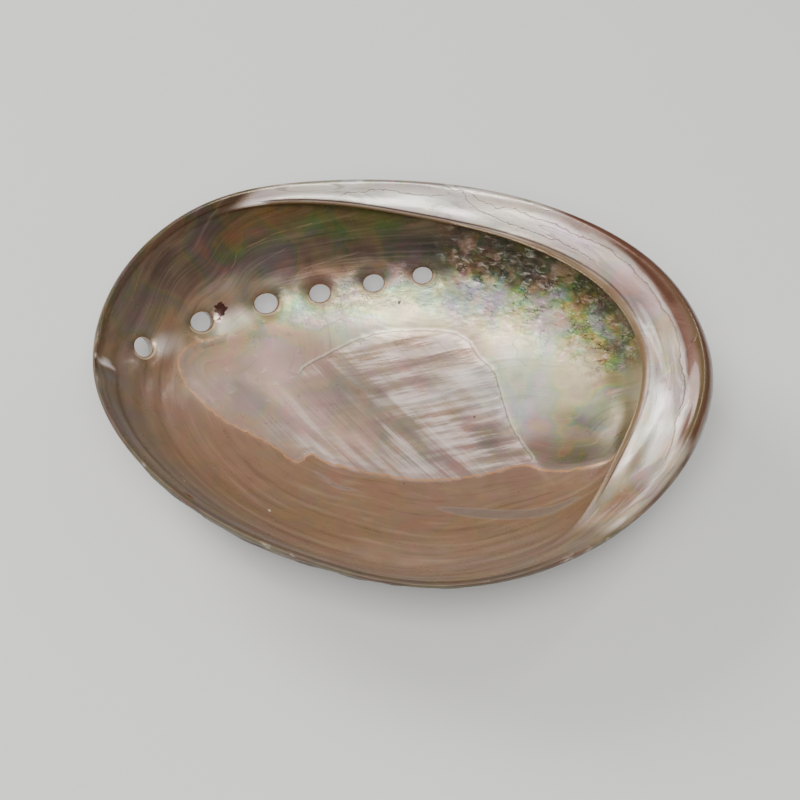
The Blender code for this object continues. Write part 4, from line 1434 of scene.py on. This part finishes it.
colour = glaze(colour, "#574238", product(crack_lines, 0.6))
print("cracks and veins:", len(tree.nodes), "nodes")

# %% [markdown]
# Over the sealed holes the nacre lies crumpled like foil. Its facets are raised by a bump,
# and each gets a painted glint where it would face the light and painted shade beside it,
# with fissures in between. The lumps get painted shade in the dips between them and
# painted light on their tops. The whole inside has fine pores, 6 mm apart here.

# %% Crumpled nacre: fissures, pores, and painted glints and shade on facets and lumps
CRUMPLE_TURN, LUMP_TURN = math.radians(14.0), math.radians(-25.0)
fissures = add("TexNoise", {
    "Vector": stretched(bend, (0.12, 0.26, 0.2), CRUMPLE_TURN), "Scale": 1.0,
    "Detail": 5.0, "Roughness": 0.7})
facets_and_glints = add("TexNoise", {
    "Vector": stretched(mm_place, (0.3, 0.75, 0.5), CRUMPLE_TURN), "Scale": 1.0,
    "Detail": 5.0, "Roughness": 0.72, "Distortion": 0.8})
breaks = add("TexNoise", {"Vector": mm_place, "Scale": 0.22})
crack_share = product(crumple_zone, line(total(fissures, -0.5), 0.006, 0.012))
crack_share = product(crack_share, fade(breaks, 0.44, 0.56))
# Painted glints on the facets, and painted shade beside them.
colour = glaze(colour, "#fdf6e4", product(crumple_zone, fade(facets_and_glints, 0.53, 0.66, 0.0, 0.62)))
colour = glaze(colour, "#463c30", product(crumple_zone, fade(facets_and_glints, 0.45, 0.33, 0.0, 0.7)))
lumps = add("TexNoise", {
    "Vector": stretched(mm_place, (0.11, 0.17, 0.15), LUMP_TURN), "Scale": 1.0,
    "Detail": 3.0})
painted_lump_shading = product(crumple_zone, fade(row_line, -3.5, 2.0))
# Painted shade in the dips between the lumps, and painted light on their tops.
colour = glaze(colour, "#3a3428", product(painted_lump_shading, fade(lumps, 0.52, 0.4, 0.0, 0.7)))
colour = glaze(colour, "#b48e7c", product(painted_lump_shading, fade(lumps, 0.56, 0.66, 0.0, 0.5)))
colour = glaze(colour, "#33291f", product(crack_share, 0.85))
pores = add("TexVoronoi", {"Vector": mm_place, "Scale": 0.16})
pore_share = product(inside_zone, fade(pores, 0.05, 0.03))
colour = glaze(colour, "#4a3527", product(pore_share, 0.5))
print("crumpled nacre:", len(tree.nodes), "nodes")

# %% [markdown]
# A worn shell has accidents: a scrap of crust left by another animal, pits, specks of
# chalk and a chipped edge. Each is a small ball in millimetres with a ragged edge, so
# it marks the surface only where the ball meets it.

# %% A few spots: a scrap of red-brown crust, pits and chalky specks
SPOTS = (
    ((-44.0, 26.2, 14.1), 1.35, "#3f160a"), ((-0.6, 31.0, 9.0), 0.42, "#3a3028"),
    ((-37.0, 38.0, 18.0), 0.30, "#e8e0d6"), ((-49.0, 31.0, 18.6), 0.34, "#2c241d"),
    ((17.7, 2.2, 4.5), 0.30, "#5e2416"), ((46.0, 26.0, 12.5), 0.35, "#d8d8e0"),
    ((-46.7, -28.4, 29.1), 0.95, "#7d4e30"), ((-47.2, -26.4, 26.5), 0.60, "#8a5230"),
    ((-49.1, -22.0, 21.8), 0.35, "#c8b09a"), ((-30.4, -25.9, 13.4), 0.25, "#cdb8a0"),
)
for centre, radius, code in SPOTS:
    away_from = add("VectorMath", {0: mm_place, 1: centre}, out=1, operation="DISTANCE")
    ragged = add("TexNoise", {"Vector": mm_place, "Scale": 0.7, "Detail": 3.0})
    ragged = total(away_from, product(total(ragged, -0.5), 3.6 * radius))
    colour = glaze(colour, code, fade(ragged, radius + 0.15, radius))
print("spots:", len(tree.nodes), "nodes")

# %% [markdown]
# Where one layer ends on another there is a line as thin as a hair: orange round the
# silver floor, brown round the scar. A soft band of painted shade lies just inside the
# silver edge, and a painted glint along the scar's edge gives it a bright side. Two
# windows in the lip, where the last layer is missing, show grey.

# %% Thin lines where one layer of nacre ends
wobble = add("TexNoise", {"Vector": mm_place, "Scale": 0.5, "Detail": 3.0})
wobble = product(total(wobble, -0.5), 1.6)   # up to 0.8 mm to each side
silver_rim = total(silver_line, wobble)
below_row = fade(row_line, 0.5, -1.5)
floor_zone = product(below_row, inside_zone, total(1.0, product(shelf_zone, -1.0)))
colour = glaze(colour, "#bd8658",
               product(floor_zone, line(total(silver_rim, 0.15), 0.1, 0.25), 0.8))
# A soft band of painted shade just inside the silver edge.
shade = product(floor_zone, line(total(silver_rim, -0.9), 0.2, 0.9))
colour = glaze(colour, "#8d7568", product(shade, 0.45))
scar_rim = total(scar_line, product(wobble, 0.5))
scar_share = product(floor_zone, line(scar_rim, 0.05, 0.2))
scar_share = product(scar_share, fade(silver_line, 0.2, 1.5))
colour = glaze(colour, "#6b5a4c", product(scar_share, 0.65))
# A painted glint beside the scar's edge.
glint_line = product(floor_zone, line(total(scar_rim, 0.5), 0.1, 0.25))
colour = glaze(colour, "#e6e8d4", product(glint_line, fade(silver_line, 0.2, 1.5, 0.0, 0.3)))
window_fill = fade(total(window_edge, product(wobble, 0.4)), 0.1, -0.3)
colour = glaze(colour, "#7d6f68", product(window_fill, 0.6))
colour = glaze(colour, "#a08a7c", product(line(window_edge, 0.08, 0.22), 0.32))
print("thin lines:", len(tree.nodes), "nodes")

# %% [markdown]
# Each hole has a worn, brownish edge and a painted highlight along its lower side. Old
# edges of growth cross the wall as fine dark lines, and the shelf's inner edge has a brown
# band with a line of painted shade above it, where the edge rolls over.

# %% Edges of the holes, old growth edges, and the shelf's brown edge
# A painted highlight along the lower side of each hole.
hole_lit_lower_side = product(fade(wall_side, 0.5, -1.0), inside_zone)
colour = glaze(colour, "#d8bd98", product(hole_lit_lower_side, line(total(hole_gap, -0.35), 0.25, 0.2)))
colour = glaze(colour, "#7a5a3a", fade(hole_gap, 0.32, 0.12, 0.0, 0.85))
striae_line, striae_near = field("striae")[0:2]
fold_line, fold_near = field("folds")[0:2]
striae_share = product(striae_near, line(striae_line, 0.02, 0.14))
striae_share = product(striae_share, fade(breaks, 0.35, 0.5, 0.15, 0.5))
striae_tint = glaze((*linear("#4d3d30"), 1.0), "#a07a5c",
                    add("Math", {0: lip_zone, 1: wall_zone}, operation="MAXIMUM"))
colour = glaze(colour, striae_tint, striae_share)
fold_share = product(fold_near, line(fold_line, 0.03, 0.15))
colour = glaze(colour, "#94786a", product(fold_share, 0.35))
silk_lines = add("TexNoise", {
    "Vector": stretched(flow_place, (1.8, 1.8, 2.6)), "Scale": 1.0, "Detail": 3.0,
    "Roughness": 0.6, "Distortion": 0.3})
colour = glaze(colour, "#a08a7c", product(wall_zone, fade(silk_lines, 0.52, 0.7, 0.0, 0.2)))
colour = glaze(colour, "#2e2620", product(wall_zone, fade(silk_lines, 0.48, 0.34, 0.0, 0.25)))
nose_zone, band_wide = field("nose")[0:2]
band = product(nose_zone, fade(nose_place, -1.3, -0.9))
band_end = total(nose_place, product(band_wide, -1.0))
colour = glaze(colour, "#7c6040", product(band, fade(band_end, 0.5, -0.3, 0.0, 0.9)))
# A line of painted shade just above the brown band, where the shelf's edge rolls over.
colour = glaze(colour, "#5a4438", product(nose_zone, line(total(band_end, -0.4), 0.05, 0.45)))
print("edges:", len(tree.nodes), "nodes")

# %% [markdown]
# The back was never polished. Ridges of growth run parallel to the rim, about 1 mm apart,
# and scraps of pale lime crust are left between them.

# %% The outside: growth ridges, cords and pale crust
outer_lines = add("TexNoise", {
    "Vector": stretched(growth_place, (0.06, 0.06, 1.1)), "Scale": 1.0, "Detail": 4.0,
    "Roughness": 0.65})
crust = add("TexNoise", {"Vector": mm_place, "Scale": 0.14, "Detail": 5.0, "Roughness": 0.65})
colour = glaze(colour, "#2f281f", product(outside_zone, fade(outer_lines, 0.5, 0.36, 0.0, 0.6)))
colour = glaze(colour, "#b49a78",
               product(outside_zone, fade(outer_lines, 0.55, 0.72, 0.0, 0.5)))
rough_zone = product(outside_zone, total(1.0, product(roll_zone, -1.0)))
colour = glaze(colour, "#b9ab98", product(rough_zone, fade(crust, 0.6, 0.68, 0.0, 0.75)))
print("outside:", len(tree.nodes), "nodes")

# %% [markdown]
# The mesh has a point every 0.8 mm or so. What is finer comes from a bump, in
# millimetres: lines, streaks, flecks and cracks inside, ridges and crust outside.

# %% Bumps too small to model
bump_height = total(product(growth_lines, 0.05), product(facets_and_glints, crumple_zone, 0.85),
                    product(lumps, crumple_zone, 2.2), product(crack_lines, -0.06),
                    product(crack_share, -0.15), product(streaks, scar_zone, 0.03),
                    product(veins, shelf_zone, 0.12), product(outer_lines, rough_zone, 1.1),
                    product(crust, rough_zone, 0.6))
bump = add("Bump", {"Height": bump_height, "Distance": 0.001, "Strength": 0.9})
print("bumps:", len(tree.nodes), "nodes")

# %% [markdown]
# Aragonite's index of refraction is 1.53 to 1.69. Polished nacre has a satin lustre, so
# it gets a little metal under a roughness of 0.3. The thin clear coat is the polish, and
# it is strongest on the shelf and the roll, where hands and sea have rubbed it smooth.

# %% Put the material together
sheen = add("TexNoise", {"Vector": mm_place, "Scale": 0.25, "Detail": 3.0})
roughness = total(fade(sheen, 0.3, 0.7, 0.26, 0.38), product(rough_zone, 0.30))
metal = total(product(inside_zone, 0.35), product(shelf_zone, -0.15))
coat = total(0.06, product(shelf_zone, 0.24), product(roll_zone, 0.40))
shader = add("BsdfPrincipled", {
    "Base Color": colour, "Roughness": roughness, "Metallic": metal, "IOR": 1.53,
    "Coat Weight": coat, "Coat Roughness": 0.07, "Coat IOR": 1.5, "Normal": bump})
result = tree.nodes.new("ShaderNodeOutputMaterial")
tree.links.new(shader, result.inputs["Surface"])
shell_data.materials.clear()
shell_data.materials.append(nacre)
shell_data.set_sharp_from_angle(angle=math.radians(50.0))
print("nacre made with", len(tree.nodes), "nodes")


# %% [markdown]
# ## Join the frame, and set the stage
#
# The shell rides on the frame's only body. It lies on a plain pale floor. A wide soft
# panel over it lights the bowl, a second one behind it on the left stands for a window
# and lays the sheen on the shelf, and a long thin tube on the right draws the bright line
# along the roll. Nacre is shown by what it mirrors, so wide lamps suit it better than
# points, which would only give it white dots.

# %% Tie the shell to its body
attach(nacre_shell, "root")
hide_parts(NODE)

# %% The floor
bpy.ops.mesh.primitive_plane_add(size=3.0)
floor_sheet = bpy.context.object
floor_sheet.name = "floor_sheet"
pale = bpy.data.materials.new("pale_paper")
pale.use_nodes = True
paper = pale.node_tree.nodes["Principled BSDF"].inputs
paper["Base Color"].default_value = (*linear("#dddcd9"), 1.0)
paper["Roughness"].default_value = 0.8
floor_sheet.data.materials.append(pale)
floor_sheet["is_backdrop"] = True
print("floor laid")

# %% The camera looks down at 64 degrees
ELEVATION = math.radians(64.0)
LENS, SENSOR = 77.0, 36.0
DISTANCE = 400.0
away = np.array([0.0, -math.cos(ELEVATION), math.sin(ELEVATION)])
upward = np.array([0.0, math.sin(ELEVATION), math.cos(ELEVATION)])
rightward = np.array([1.0, 0.0, 0.0])
AIM = np.array([0.0, 4.0, 20.0])
stand = AIM + shift + away * DISTANCE - rightward * 0.5 - upward * 4.0
camera = bpy.data.objects.new("camera", bpy.data.cameras.new("camera"))
camera.data.lens, camera.data.sensor_width, camera.data.clip_start = LENS, SENSOR, 0.01
camera.location = Vector(stand) * MM
camera.rotation_euler = (math.radians(90.0) - ELEVATION, 0.0, 0.0)
bpy.context.scene.collection.objects.link(camera)
bpy.context.scene.camera = camera
print("camera at", stand.round(0), "mm")

# %% Three lamps and a pale world
# Name, place in metres, width, length, power in watts.
LAMPS = (
    ("ceiling_lamp", (-0.05, -0.28, 0.80), 0.45, 0.45, 7.4),
    ("window_lamp", (-0.60, 0.50, 0.62), 0.40, 0.40, 6.2),
    ("tube_lamp", (0.36, 0.34, 0.66), 0.03, 0.60, 0.8),
)
for name, stand_at, width, length, power in LAMPS:
    lamp = bpy.data.objects.new(name, bpy.data.lights.new(name, "AREA"))
    lamp.data.shape, lamp.data.energy = "RECTANGLE", power
    lamp.data.size, lamp.data.size_y = width, length
    lamp.location = stand_at
    towards = Vector((0.0, 0.0, 0.02)) - lamp.location
    lamp.rotation_euler = towards.to_track_quat("-Z", "Y").to_euler()
    bpy.context.scene.collection.objects.link(lamp)

world = bpy.data.worlds.new("studio")
world.use_nodes = True
sky = world.node_tree.nodes["Background"].inputs
sky["Color"].default_value = (*linear("#e9edf0"), 1.0)
sky["Strength"].default_value = 0.26
bpy.context.scene.world = world
print(len(LAMPS), "lamps hung")

# %% Print the frame's bounds and finish
print("frame", cad_low.round(2), cad_high.round(2))
